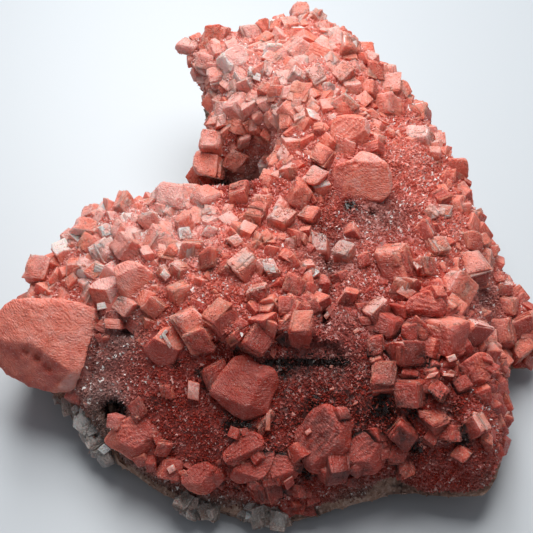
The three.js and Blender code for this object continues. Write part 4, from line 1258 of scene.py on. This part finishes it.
def paintedFootShade(points, glareAndShade):
    # painted shade, deeper colour towards the crust: 1 - smooth(height over it / reach), less where the
    # painted glare lies
    over = points[:, 2] - topHeight(points[:, :2])
    return rhomb["paintedFootDark"] * (1.0 - smooth(over / rhomb["footReach"])) * (1.0 - rhomb["glareEvensShading"] * glareAndShade)


lattice = {  # lines along each edge of a cube
    "big": [-1.0, -0.96, -0.85, -0.65, -0.4, -0.14, 0.14, 0.4, 0.65, 0.85, 0.96, 1.0],
    "fine": [-1.0, -0.95, -0.8, -0.5, -0.17, 0.17, 0.5, 0.8, 0.95, 1.0],
    "middle": [-1.0, -0.92, -0.62, -0.2, 0.2, 0.62, 0.92, 1.0],
    "small": [-1.0, -0.86, 0.86, 1.0],
}
# how square the edges are, how uneven the faces, how deep the ridges, how many corners are cut off
crystalSkins = {
    "standingRhombs": {"lines": "big", "rounding": 9, "wobble": 0.09, "ridges": 0.09, "chops": 3},
    "pickedRhombs": {"lines": "fine", "rounding": 8, "wobble": 0.13, "ridges": 0.13, "chops": 5},
    "smallRhombs": {"lines": "small", "rounding": 9, "wobble": 0.05, "ridges": 0.06, "chops": 3},
    "twinRhombs": {"lines": "small", "rounding": 9, "wobble": 0.05, "ridges": 0.06, "chops": 3},
    "chips": {"lines": "small", "rounding": 12, "wobble": 0.03, "ridges": 0.06, "chops": 3},
    "paleCalcite": {"lines": "middle", "rounding": 12, "wobble": 0.1, "ridges": 0.12, "chops": 4},
}


def crystalPiece(name, crystals, look, seed, material="crystal", slot="red_calcite"):
    # one skin for every rhomb: a cube's lattice, its edges rounded off by p / (|x|^e + |y|^e + |z|^e)^(1/e),
    # its faces made uneven by noise and by ridges across the third edge, corners cut by planes at random,
    # then carried out along the rhomb's own half edges
    grid, faces = cubeGrid(np.array(lattice[look["lines"]]))
    power = look["rounding"]
    skin = grid / (np.abs(grid) ** power).sum(1, keepdims=True) ** (1.0 / power)
    count, size = len(crystals["edge"]), len(skin)
    number, triple = np.arange(count), np.arange(count * 3).reshape(count, 3)
    half = (crystals["edge"] / 2)[:, None]
    shift = chance(triple + seed) * rhomb["noiseSpread"]
    local = skin[None] * half[..., None] + shift[:, None]
    uneven = layeredNoise(local.reshape(-1, 3), rhomb["noiseSize"], 2, seed).reshape(count, size)
    body = skin[None] * (1.0 + look["wobble"] * uneven)[..., None]
    ridge = chance(number[:, None] * 7.7 + np.round(skin[:, 2] * rhomb["ridgeCount"])[None] + seed)
    body[..., :2] *= (1.0 - look["ridges"] * ridge)[..., None]
    for cut in range(look["chops"]):
        way = unit(chance(triple * 1.3 + cut * 17.0 + seed) - 0.5)
        reach = np.abs(way).sum(1) * lerp(*rhomb["cutRange"], chance(number * 2.7 + cut * 5.0 + seed))
        over = np.maximum(0.0, np.einsum("nsj,nj->ns", body, way) - reach[:, None])
        body = body - over[..., None] * way[:, None]
    points = (crystals["centre"][:, None] + np.einsum("nij,nsj->nsi", crystals["edges"], body)).reshape(-1, 3)
    corners = (number[:, None, None] * size + faces[None]).reshape(-1, 4)

    # paler along the edges; paler on faces that look up to the light and deeper on the others, which is
    # painted light and shade; each face a little different; a few of them painted white as flashes of sheen
    second = np.sort(np.abs(grid), axis=1)[:, 1]
    rimLight = rhomb["rimPale"] * smooth((second - rhomb["rimFrom"]) / rhomb["rimOver"])
    outward = np.sign(skin) * np.abs(skin) ** 7
    facing = unit(np.einsum("sj,njk->nsk", outward, np.linalg.inv(crystals["edges"])))
    upward = np.maximum(facing @ unit(np.array(rhomb["up"])), 0.0) ** 2
    sideOf = np.abs(grid).argmax(1) + 3 * (grid.max(1) > np.abs(grid.min(1)))
    # a few faces painted white as flashes of sheen, and the chosen face painted white as the sheen of the
    # light
    luck = chance(number[:, None] * 6.1 + sideOf[None] + seed * 0.37)
    faceTone = rhomb["faceSpread"] * (luck - 0.5) + np.where(luck > rhomb["unflashedShare"], rhomb["paintedFlashTone"], 0.0)
    white = sideOf[None] == crystals["paintedSheenFace"][:, None]
    faceTone = faceTone + np.where(white, rhomb["paintedSheenTone"], 0.0)
    # painted glare and shade of the patches, which also even out the painted top light and foot shade
    glareAndShade = patchSum(points, "glareAndShade").reshape(count, size)
    # painted light and shade: faces that look up to the light paler, the others deeper
    paintedTopShading = rhomb["paintedTopLight"] * (1.0 - rhomb["glareEvensShading"] * glareAndShade) * (upward - rhomb["paintedTopFrom"])
    tone = crystals["tone"][:, None] + rimLight + paintedTopShading + faceTone
    # painted black shade from the dark columns
    tone = (tone + glareAndShade).ravel() - rhomb["paintedShadeDark"] * paintedShadeSum(points)
    # painted shade at the foot of the red crystals
    if slot == "red_calcite":
        tone = tone - paintedFootShade(points, glareAndShade.ravel())
    lines = np.dstack([local[..., :2], second[None] * half + local[..., 2] * rhomb["growthTilt"]])
    values = {"tone": tone, "stain": partOf(points, "stain", rhomb["stainShare"], rhomb["stainMost"]),
              "rocky": partOf(points, "bareEdge", rhomb["rockyShare"], rhomb["rockyMost"]),
              "growth": lines.reshape(-1, 3)}
    return makePiece(name, points, corners, materials[material], values, sharpAngle=28), points, corners


carving = {
    "spokes": 84, "rings": 24, "backRings": 7,  # points round it, loops over its front and down its sides
    "ringsFrom": 0.05, "ringsBend": 0.85,       # first loop against the outline, and how they crowd outwards
    "squareOff": 0.07,                          # how softly one face turns into the next, mm
    "roughSize": 2.4,
    "terraceShare": 0.75, "riserPale": 0.22, "riserMean": 0.3,
    "lip": 0.55, "lipFrom": 0.88, "lipOver": 0.12,  # how deep it rolls over, and over which shares
    "rimRings": 1.6, "roughShare": 0.8, "ringShare": 0.35,  # rings per mm and what makes up the ripple
    "taper": 0.4, "taperBend": 1.4,             # how much narrower its foot is
    "wanderSize": 2.0, "wander": 0.03,
    "rimReach": 0.5, "boxShare": 0.92,
    "growthIn": 0.25, "growthWay": (0.5, 0.8, 0.3), "growthApart": 7.0,
    "stainShare": 0.2, "stainMost": 0.6,
}


def carve(look, seed):
    # closed loops: out over the front, back down the sides; the front's height is the lowest of the faces,
    # blended by -s ln(sum of exp(-face / s)), stepped into terraces, rolled over at the outline, dented by
    # exp(-(distance / radius)^2) and rippled
    outline = np.array(look["outline"], float)
    outline[:, 1] *= -1
    turning = np.cross(outline, np.roll(outline, -1, axis=0)).sum()
    knots = outline if turning > 0 else outline[::-1]
    wrapped = np.vstack([knots[-2:], knots, knots[:3]])
    wrapped = np.column_stack([wrapped, np.zeros(len(wrapped))])
    ends = 1.0 / (len(wrapped) - 1)
    spokes = np.linspace(2 * ends, 1 - 2 * ends, carving["spokes"], endpoint=False)
    rim = catmullRom(wrapped, spokes)[:, :2]
    middle = rim.mean(0)
    shares = np.linspace(carving["ringsFrom"], 1.0, carving["rings"]) ** carving["ringsBend"]
    back = np.linspace(0.0, 1.0, carving["backRings"] + 1)[1:]
    flat = middle + (rim - middle) * shares[:, None, None]
    places = (flat - middle) * sheet["square"]

    faces = np.array(look["faces"], float)
    pins = (faces[:, :2] * [1, -1] - middle) * sheet["square"]
    falls = np.radians(faces[:, 3])
    way = np.stack([np.cos(falls), np.sin(falls)], 1)
    along = np.einsum("rsk,fk->rsf", places, way) - (pins * way).sum(1)
    heights = faces[:, 2] - np.tan(np.radians(faces[:, 4])) * along
    soft = carving["squareOff"]
    weights = np.exp(-(heights - heights.min(2, keepdims=True)) / soft)
    front = heights.min(2) - soft * np.log(weights.sum(2))
    # each face's paleness blended the same way: painted light and shade, lit faces paler
    tone = (weights * faces[:, 5]).sum(2) / weights.sum(2)
    rough = layeredNoise(np.dstack([places, front]).reshape(-1, 3), carving["roughSize"], 3, seed)
    rough = rough.reshape(front.shape)
    if look["terrace"]:
        tread = front / look["terrace"] + 0.5 * rough
        riser = smooth((tread - np.floor(tread) - 0.5) / 0.5)
        stepped = look["terrace"] * (np.floor(tread) + riser - 0.5 * rough)
        front = lerp(front, stepped, carving["terraceShare"])
        tone = tone + carving["riserPale"] * (riser - carving["riserMean"])
    roll = np.clip((shares - carving["lipFrom"]) / carving["lipOver"], 0.0, 1.0)
    front -= (carving["lip"] * (1.0 - np.sqrt(1.0 - roll ** 2)))[:, None]
    for column, row, radius, deep in look["dents"]:
        gap = np.linalg.norm(places - (np.array([column, -row]) - middle) * sheet["square"], axis=2)
        front -= deep * np.exp(-((gap / radius) ** 2))
    fromRim = (1.0 - shares)[:, None] * np.linalg.norm(rim - middle, axis=1) * sheet["square"]
    ringPlaces = np.dstack([fromRim * carving["rimRings"], fromRim * 0, fromRim * 0]).reshape(-1, 3)
    rings = latticeNoise(ringPlaces, 1.0, seed).reshape(front.shape)
    front += look["ripple"] * (carving["roughShare"] * rough + carving["ringShare"] * rings)
    narrowed = places[-1] * (1 - carving["taper"])
    side = np.stack([lerp(places[-1], narrowed, f ** carving["taperBend"]) for f in back])
    drop = np.stack([lerp(front[-1], np.full(len(rim), -look["depth"] - look["front"]), f) for f in back])
    loops = np.dstack([np.vstack([places, side]), np.vstack([front, drop])])
    wander = layeredNoise(loops.reshape(-1, 3), carving["wanderSize"], 2, seed + 3).reshape(loops.shape[:2])
    loops[..., :2] *= 1.0 + carving["wander"] * wander[..., None]
    halves = (places[-1].max(0) - places[-1].min(0)) / 2
    seat = seatOf([middle[0]], [-middle[1]], halves.mean() * carving["rimReach"])[0] + toEye * look["front"]
    points = seat + loops @ np.stack([sheetRight, sheetUp, toEye])
    inward = np.vstack([fromRim, fromRim[-1:] + np.zeros((len(back), 1))])
    lines = carving["growthIn"] * inward + loops @ np.array(carving["growthWay"])
    growth = np.dstack([loops[..., :2], lines]) + seed * carving["growthApart"]
    tone = np.vstack([tone, np.repeat(tone[-1:], len(back), 0)])
    deep = toEye * (look["front"] + look["depth"]) / 2
    edges = np.stack([sheetRight * halves[0], sheetUp * halves[1], deep], 1)[None] * carving["boxShare"]
    box = {"centre": (seat - deep)[None], "edges": edges, "edge": np.array([halves.mean() * 2])}
    return points, tone, growth, box


def buildCarved():
    # all the carved crystals in one mesh, and a box round each
    points, faces, tones, growths, boxes = [], [], [], [], []
    for seed, look in enumerate(carvedCrystals.values()):
        loops, tone, growth, box = carve(look, seed + 60)
        skin, skinFaces = closedLoops(loops)
        faces.append(skinFaces + sum(len(p) for p in points))
        points.append(skin)
        tones.append(np.concatenate([tone.ravel(), tone[0, :1], tone[-1, :1]]))
        growths.append(np.vstack([growth.reshape(-1, 3), growth[0, :1], growth[-1, :1]]))
        boxes.append(box)
    points = np.vstack(points)
    glareAndShade = patchSum(points, "glareAndShade")
    # painted shade at the crust under the carved crystals
    values = {"tone": np.concatenate(tones) + glareAndShade - paintedFootShade(points, glareAndShade), "growth": np.vstack(growths),
              "stain": partOf(points, "stain", carving["stainShare"], carving["stainMost"]),
              "rocky": np.zeros(len(points))}
    makePiece("carvedCrystals", points, np.vstack(faces), materials["crystal"], values,
              sharpAngle=35)
    return joinSets(*boxes)


carvedBoxes = buildCarved()
pickedRhombs = listed(upperRhombs + leftRhombs + rightRhombs)
pickedRhombs = pick(pickedRhombs, ~insideAny(pickedRhombs["centre"], carvedBoxes, 0.8))
standingRhombs = chosen(list(chosenRhombs.values()))
mainRhombs = joinSets(carvedBoxes, pickedRhombs, standingRhombs)
print("rhombs placed:", len(pickedRhombs["edge"]), "listed,", len(standingRhombs["edge"]), "chosen")

stepped = np.array([look["terrace"] > 0.0 for look in carvedCrystals.values()])
ragged = pick(carvedBoxes, stepped & (carvedBoxes["centre"][:, 1] < rhomb["flakyBefore"]))
flaky = pick(pickedRhombs, pickedRhombs["centre"][:, 1] < rhomb["flakyBefore"])
twinned = joinSets(
    companions(pickedRhombs, each=2, seed=5), companions(standingRhombs, each=2, seed=8),
    plates(pickedRhombs, each=3, seed=6), plates(standingRhombs, each=5, seed=7),
    plates(flaky, each=3, seed=9, thick=(0.05, 0.12), turned=0.09), outgrowths(ragged, each=5, seed=14))
skins = [crystalPiece("standingRhombs", standingRhombs, crystalSkins["standingRhombs"], seed=1),
         crystalPiece("pickedRhombs", pickedRhombs, crystalSkins["pickedRhombs"], seed=2)]

fill = {
    "seed": 21, "tries": 14000, "cell": 4.3,     # spacing of the small rhombs
    "breadth": (3.4, 7.8), "breadthBend": 1.4,   # mm, and how few of them are broad
    "sunk": (-0.4, 0.0),                         # how far a middle stands out of the crust, against the edge
    "clearOf": 0.95,                             # share of a main rhomb that none grows in
    "hollowMost": 0.5, "thinned": (1.35, 0.1), "edgeThinned": 1.4, "thinSmaller": 0.55,
    "lean": (0.2, 1.1), "uneven": (0.72, 1.2), "tone": (0.1, 0.6),
}


def buildFill():
    # one rhomb at most in each cell of a grid, fewer and smaller where the growth is flat or thin
    look = fill
    rng = np.random.default_rng(look["seed"])
    place, normal = scatter(crustPoints, shownFaces, look["tries"], rng)
    cells = np.floor(place / look["cell"]).astype(int)
    first = np.unique(cells, axis=0, return_index=True)[1]
    place, normal = place[first], normal[first]
    keep = ~insideAny(place, mainRhombs, look["clearOf"])
    sparse = np.minimum(patchSum(place, "flat") + patchSum(place, "thin"), 1.0)
    # none where the painted black shade is strong
    keep &= paintedShadeSum(place) < look["hollowMost"]
    rise, start = look["thinned"]
    bare = np.maximum(sparse * rise - start, look["edgeThinned"] * patchSum(place, "bareEdge"))
    keep &= rng.random(len(place)) > bare
    place, normal, sparse = place[keep], normal[keep], sparse[keep]
    n = len(place)
    edge = lerp(*look["breadth"], rng.random(n) ** look["breadthBend"])
    edge = edge * (1 - look["thinSmaller"] * sparse) * rhomb["edgeShare"]
    turn = turnOf(rng.uniform(*look["lean"], n), rng.uniform(0, 2 * math.pi, n),
                  rng.uniform(0, 2 * math.pi, n), basisOn(normal))
    uneven = rng.uniform(*look["uneven"], (n, 1, 3))
    return {"centre": place + normal * (rng.uniform(*look["sunk"], n) * edge)[:, None],
            "edges": turn * uneven * (edge / 2)[:, None, None], "tone": rng.uniform(*look["tone"], n),
            "edge": edge, "paintedSheenFace": np.full(n, -1)}


fillRhombs = buildFill()
skins.append(crystalPiece("smallRhombs", fillRhombs, crystalSkins["smallRhombs"], seed=3))
skins.append(crystalPiece("twinRhombs", twinned, crystalSkins["twinRhombs"], seed=4))
crystalPiece("chips", chipSet(), crystalSkins["chips"], seed=5)

# druse: tiny three-sided points all over the crust, and finer ones on the crystals and the rock
# glints is the share of tips painted white as highlights, shade how far their feet are painted darker as
# shade and their tips paler as light
druse = {
    "crust": {"seed": 31, "count": 46000, "breadth": (0.34, 0.78), "height": (0.35, 1.15), "lean": 0.6,
              "sunk": 0.2, "tone": (0.0, 0.45), "paintedGlints": 0.07, "paintedTipShading": 0.28, "under": (0.34, 0.48),
              "spare": 1.9, "clearOf": {"listed": 0.97, "small": 0.9, "carved": 0.78}},
    "crystals": {"seed": 32, "count": 26000, "breadth": (0.16, 0.42), "height": (0.04, 0.34), "lean": 0.5,
                 "sunk": 0.1, "tone": (-0.1, 0.3), "paintedGlints": 0.015, "paintedTipShading": 0.05, "under": (0.1, 0.3),
                 "spare": 1.3, "patchSize": 2.6, "patchFrom": -0.05, "overFrom": -1.5, "facingFrom": -0.35},
    "rock": {"seed": 33, "count": 15000, "breadth": (0.3, 0.8), "height": (0.1, 0.7), "lean": 0.7,
             "sunk": 0.2, "tone": (-0.2, 0.7), "paintedGlints": 0.01, "paintedTipShading": 0.1, "under": (0.2, 0.4),
             "lowest": 1.2, "steep": 0.8},
}
tipLook = {"paintedGlintTone": 1.6, "paintedFootShadeAndTipLight": [-1.0, -1.0, -1.0, 0.6]}  # tone of a tip painted white as a glint; painted shade on the three foot corners and painted light on the tip


def buildTips(name, look, place, normal, material):
    # four corners each: three round the foot and one at the tip, tipped about the surface's direction
    rng = np.random.default_rng(look["seed"] + 100)
    n = len(place)
    foot = rng.uniform(0, 2 * math.pi, n)[:, None] + np.arange(3) * 2 * math.pi / 3
    breadth, high = rng.uniform(*look["breadth"], n), rng.uniform(*look["height"], n)
    ring = np.stack([np.cos(foot) * breadth[:, None], np.sin(foot) * breadth[:, None],
                     np.full((n, 3), -look["sunk"])], -1)
    tip = np.zeros((n, 1, 3))
    tip[:, 0, 2] = high
    shape = np.concatenate([ring, tip], 1)
    spin = turnAbout("z", rng.uniform(0, 2 * math.pi, n))
    turn = basisOn(normal) @ spin @ turnAbout("y", rng.normal(0, look["lean"], n))
    points = (place[:, None] + np.einsum("nij,nsj->nsi", turn, shape)).reshape(-1, 3)
    faces = np.arange(n)[:, None, None] * 4 + np.array([[0, 2, 1], [0, 1, 3], [1, 2, 3], [2, 0, 3]])[None]
    tone = rng.uniform(*look["tone"], n)
    # a few tips painted white as glints
    tone[rng.random(n) < look["paintedGlints"]] = tipLook["paintedGlintTone"]
    values = skinValues(points, 12, look["under"])
    # painted shade on the three foot corners, painted light on the tip
    values["tone"] = values["tone"] + np.repeat(tone, 4) + np.tile(tipLook["paintedFootShadeAndTipLight"], n) * look["paintedTipShading"]
    return makePiece(name, points, faces.reshape(-1, 3), material, values)


def crustTips():
    # thinned where crystals cover the crust
    look = druse["crust"]
    clear = look["clearOf"]
    rng = np.random.default_rng(look["seed"])
    place, normal = scatter(crustPoints, shownFaces, int(look["count"] * look["spare"]), rng)
    keep = ~insideAny(place, joinSets(pickedRhombs, standingRhombs), clear["listed"])
    keep &= ~insideAny(place, fillRhombs, clear["small"])
    keep &= ~insideAny(place, carvedBoxes, clear["carved"])
    place, normal = place[keep][: look["count"]], normal[keep][: look["count"]]
    buildTips("druseTips", look, place, normal, materials["druse"])


def crystalTips():
    # only where the crystals stand clear of the crust, and in ragged patches
    look = druse["crystals"]
    rng = np.random.default_rng(look["seed"])
    places, normals = [], []
    for _, points, faces in skins:
        halves = np.vstack([faces[:, [0, 1, 2]], faces[:, [0, 2, 3]]])
        place, normal = scatter(points, halves, int(look["count"] * look["spare"]), rng)
        places.append(place)
        normals.append(normal)
    place, normal = np.vstack(places), np.vstack(normals)
    over = place[:, 2] - topHeight(place[:, :2])
    keep = (layeredNoise(place, look["patchSize"], 2, 9) > look["patchFrom"]) & (over > look["overFrom"])
    keep = np.flatnonzero(keep & (normal @ toEye > look["facingFrom"]))
    keep = keep[rng.permutation(len(keep))][: look["count"]]
    buildTips("crystalTips", look, place[keep], normal[keep], materials["crystal"])


crustTips()
crystalTips()

# the host rock
rockLook = {
    "along": 300, "wallSteps": 15, "topSteps": 10,
    "shelfBay": -1.5, "shelfOuter": 1.5,   # how far it stands out past the crust's rim, mm
    "shelfDrop": 1.0, "shelfLeast": 4.0,   # under the crust's side, and least height over the table
    "insetMost": 3,                        # a foot stands in by a third of the breadth at most
    "tuck": form["thickness"], "below": form["thickness"],
    "least": 3.0, "sag": 9.0, "sagFrom": 7.0, "sagOver": 8.0,
    "lumps": [(7.0, 1.0, 3), (2.2, 0.45, 2)], "seed": 40,
    "pitWider": 1.0, "pitDeeper": 3.0,     # than the crust's own pits
    "floorGap": 0.15,                      # lowest the wall's lumps come down to
}


def buildRock():
    # loops across the slab: foot, rough wall to a shelf below the crust, hidden top, and down the far side
    look = rockLook
    stations = np.linspace(1.0, form["rimSteps"] - 1.0, look["along"] + 1) / form["rimSteps"]
    bay, outer = catmullRom(bayKnots, stations), catmullRom(outerKnots, stations)
    outward = unit((outer - bay) * np.array([1, 1, 0]))
    length = np.hypot(*(outer - bay)[:, :2].T)
    place = stations * (len(sections) - 1)
    insets = [np.minimum(length / look["insetMost"], np.interp(place, np.arange(len(sections)), plan[:, k]))
              for k in (6, 7)]
    rise = np.linspace(0.0, 1.0, look["wallSteps"] + 1)[None, :, None]

    def wall(edge, way, shelf, inset):
        # straight from the foot, which stands in, up to the lip of the shelf
        lip = edge + way * shelf
        lip[:, 2] = np.maximum(look["shelfLeast"], edge[:, 2] - form["lipDrop"] - look["shelfDrop"])
        foot = edge - way * inset[:, None]
        foot[:, 2] = 0.0
        return lerp(foot[:, None], lip[:, None], rise)

    side = np.minimum(form["tuckMost"], look["tuck"] / length)[:, None]
    shares = side + (1 - 2 * side) * np.linspace(0.0, 1.0, look["topSteps"])
    top = raised(across(bay, outer, shares), lambda places: sunkTop(places, look))
    bayWall = wall(bay.copy(), -outward, look["shelfBay"], insets[0])
    outerWall = wall(outer.copy(), outward, look["shelfOuter"], insets[1])[:, ::-1]
    loops = np.concatenate([bayWall, top, outerWall], axis=1)
    points = loops.reshape(-1, 3)
    moved = points + loopNormals(loops).reshape(-1, 3) * lumpsOn(points, look)[:, None]
    moved = sinkPits(moved, [(column, row, reach + look["pitWider"], deep + look["pitDeeper"])
                             for column, row, reach, deep in crustLook["pits"]])
    moved[:, 2] = np.where(points[:, 2] < 1e-6, 0.0, np.maximum(moved[:, 2], look["floorGap"]))
    points, faces = closedLoops(moved.reshape(loops.shape))
    piece = makePiece("hostRock", points, faces, materials["rock"], {}, sharpAngle=50)
    grit = druse["rock"]
    place, normal = scatter(points, faces, grit["count"], np.random.default_rng(grit["seed"]))
    keep = (place[:, 2] > grit["lowest"]) & (normal[:, 2] < grit["steep"])
    buildTips("rockGrit", grit, place[keep], normal[keep], materials["rock"])
    return piece


rock = buildRock()
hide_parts("host_rock")

# paler calcite on the bare front edge: column, row, breadth on the sheet and height in mm
paleClusters = {
    "pale_calcite_left": [(66, 396, 24, 10), (75, 405, 26, 11), (85, 417, 26, 11), (91, 430, 26, 9),
                          (99, 443, 24, 8), (109, 455, 24, 7)],
    "pale_calcite_front": [(184, 503, 22, 6.5), (194, 509, 26, 6), (210, 510, 20, 5.5)],
    "pale_calcite_base": [(250, 511, 24, 6), (264, 516, 28, 6), (280, 518, 22, 5.5)],
}
paleLook = {
    "tone": (0.35, 1.0), "lowest": 0.3,    # mm it stays over the table
    "companions": {"each": 8, "share": (0.3, 0.72), "turned": 0.5},
    "plates": {"each": 3, "thick": (0.06, 0.16), "turned": 0.4},
}


def buildPale(name, lines, seed):
    # a few middles in the air over the edge; only what grows on them is shown, lifted clear of the table
    table = np.array(lines, float)
    number = np.arange(len(table))
    edge = table[:, 2] * sheet["square"] * rhomb["edgeShare"]
    crystals = {"centre": pointAtHeight(table[:, 0], table[:, 1], table[:, 3]),
                "edges": turnOf(*byChance(number), viewBasis) * (edge / 2)[:, None, None],
                "tone": lerp(*paleLook["tone"], chance(number + seed)), "edge": edge,
                "paintedSheenFace": np.full(len(table), -1)}
    grown = joinSets(companions(crystals, seed=seed, **paleLook["companions"]),
                     plates(crystals, seed=seed, **paleLook["plates"]))
    halfHigh = np.abs(grown["edges"][:, 2]).sum(1)
    low = halfHigh > grown["centre"][:, 2] - paleLook["lowest"]
    grown["centre"][low, 2] = halfHigh[low] + paleLook["lowest"]
    shownName = name.replace("pale_calcite_", "paleCalcite_")
    piece = crystalPiece(shownName, grown, crystalSkins["paleCalcite"], seed,
                         "paleCalcite", "pale_calcite")[0]
    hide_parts(name)


for seed, (name, lines) in enumerate(paleClusters.items()):
    buildPale(name, lines, 50 + seed)

# table, light and camera
studio = {
    "table": (0.52, 0.56, 0.60), "tableSize": 4.0, "tableRoughness": 0.42,
    "sky": (0.93, 0.95, 1.0), "skyStrength": 0.22,
    "key": {"place": (0.02, 0.12, 0.40), "size": 0.34, "power": 1.68, "tint": (1.0, 0.99, 0.97)},
    "back": {"place": (-0.06, 0.42, 0.38), "size": 0.26, "power": 1.5, "tint": (1.0, 0.995, 0.98)},
    "lightsAt": (0, 0, 0.02),  # where both lamps look
    "sensor": 36.0,
}


def buildTable():
    # one large square at height 0
    half = studio["tableSize"] / 2
    mesh = bpy.data.meshes.new("table")
    corners = [(-half, -half, 0), (half, -half, 0), (half, half, 0), (-half, half, 0)]
    mesh.from_pydata(corners, [], [(0, 1, 2, 3)])
    material = bpy.data.materials.new("paper")
    material.use_nodes = True
    shader = material.node_tree.nodes["Principled BSDF"]
    shader.inputs["Base Color"].default_value = (*studio["table"], 1)
    shader.inputs["Roughness"].default_value = studio["tableRoughness"]
    mesh.materials.append(material)
    table = bpy.data.objects.new("table", mesh)
    bpy.context.scene.collection.objects.link(table)


def aim(thing, place, target):
    # placed at a point and turned so that its -Z looks at the target
    thing.location = place
    thing.rotation_euler = (Vector(target) - Vector(place)).to_track_quat("-Z", "Y").to_euler()


def addLight(name, look):
    # a round soft lamp that looks at the middle of the piece
    lamp = bpy.data.lights.new(name, "AREA")
    lamp.shape = "DISK"
    lamp.size = look["size"]
    lamp.energy = look["power"]
    lamp.color = look["tint"]
    holder = bpy.data.objects.new(name, lamp)
    bpy.context.scene.collection.objects.link(holder)
    aim(holder, look["place"], studio["lightsAt"])


buildTable()
addLight("keyLight", studio["key"])
addLight("backLight", studio["back"])
world = bpy.data.worlds.new("studio")
world.use_nodes = True
world.node_tree.nodes["Background"].inputs["Color"].default_value = (*studio["sky"], 1)
world.node_tree.nodes["Background"].inputs["Strength"].default_value = studio["skyStrength"]
bpy.context.scene.world = world
bpy.context.scene.view_settings.view_transform = "Standard"

lens = bpy.data.cameras.new("camera")
lens.sensor_width = studio["sensor"]
lens.lens = studio["sensor"] * sheet["distance"] / (sheet["across"] * sheet["square"])
camera = bpy.data.objects.new("camera", lens)
bpy.context.scene.collection.objects.link(camera)
aim(camera, eye * mm, np.array(sheet["middle"]) * mm)
bpy.context.scene.camera = camera
print("camera and lights ready")
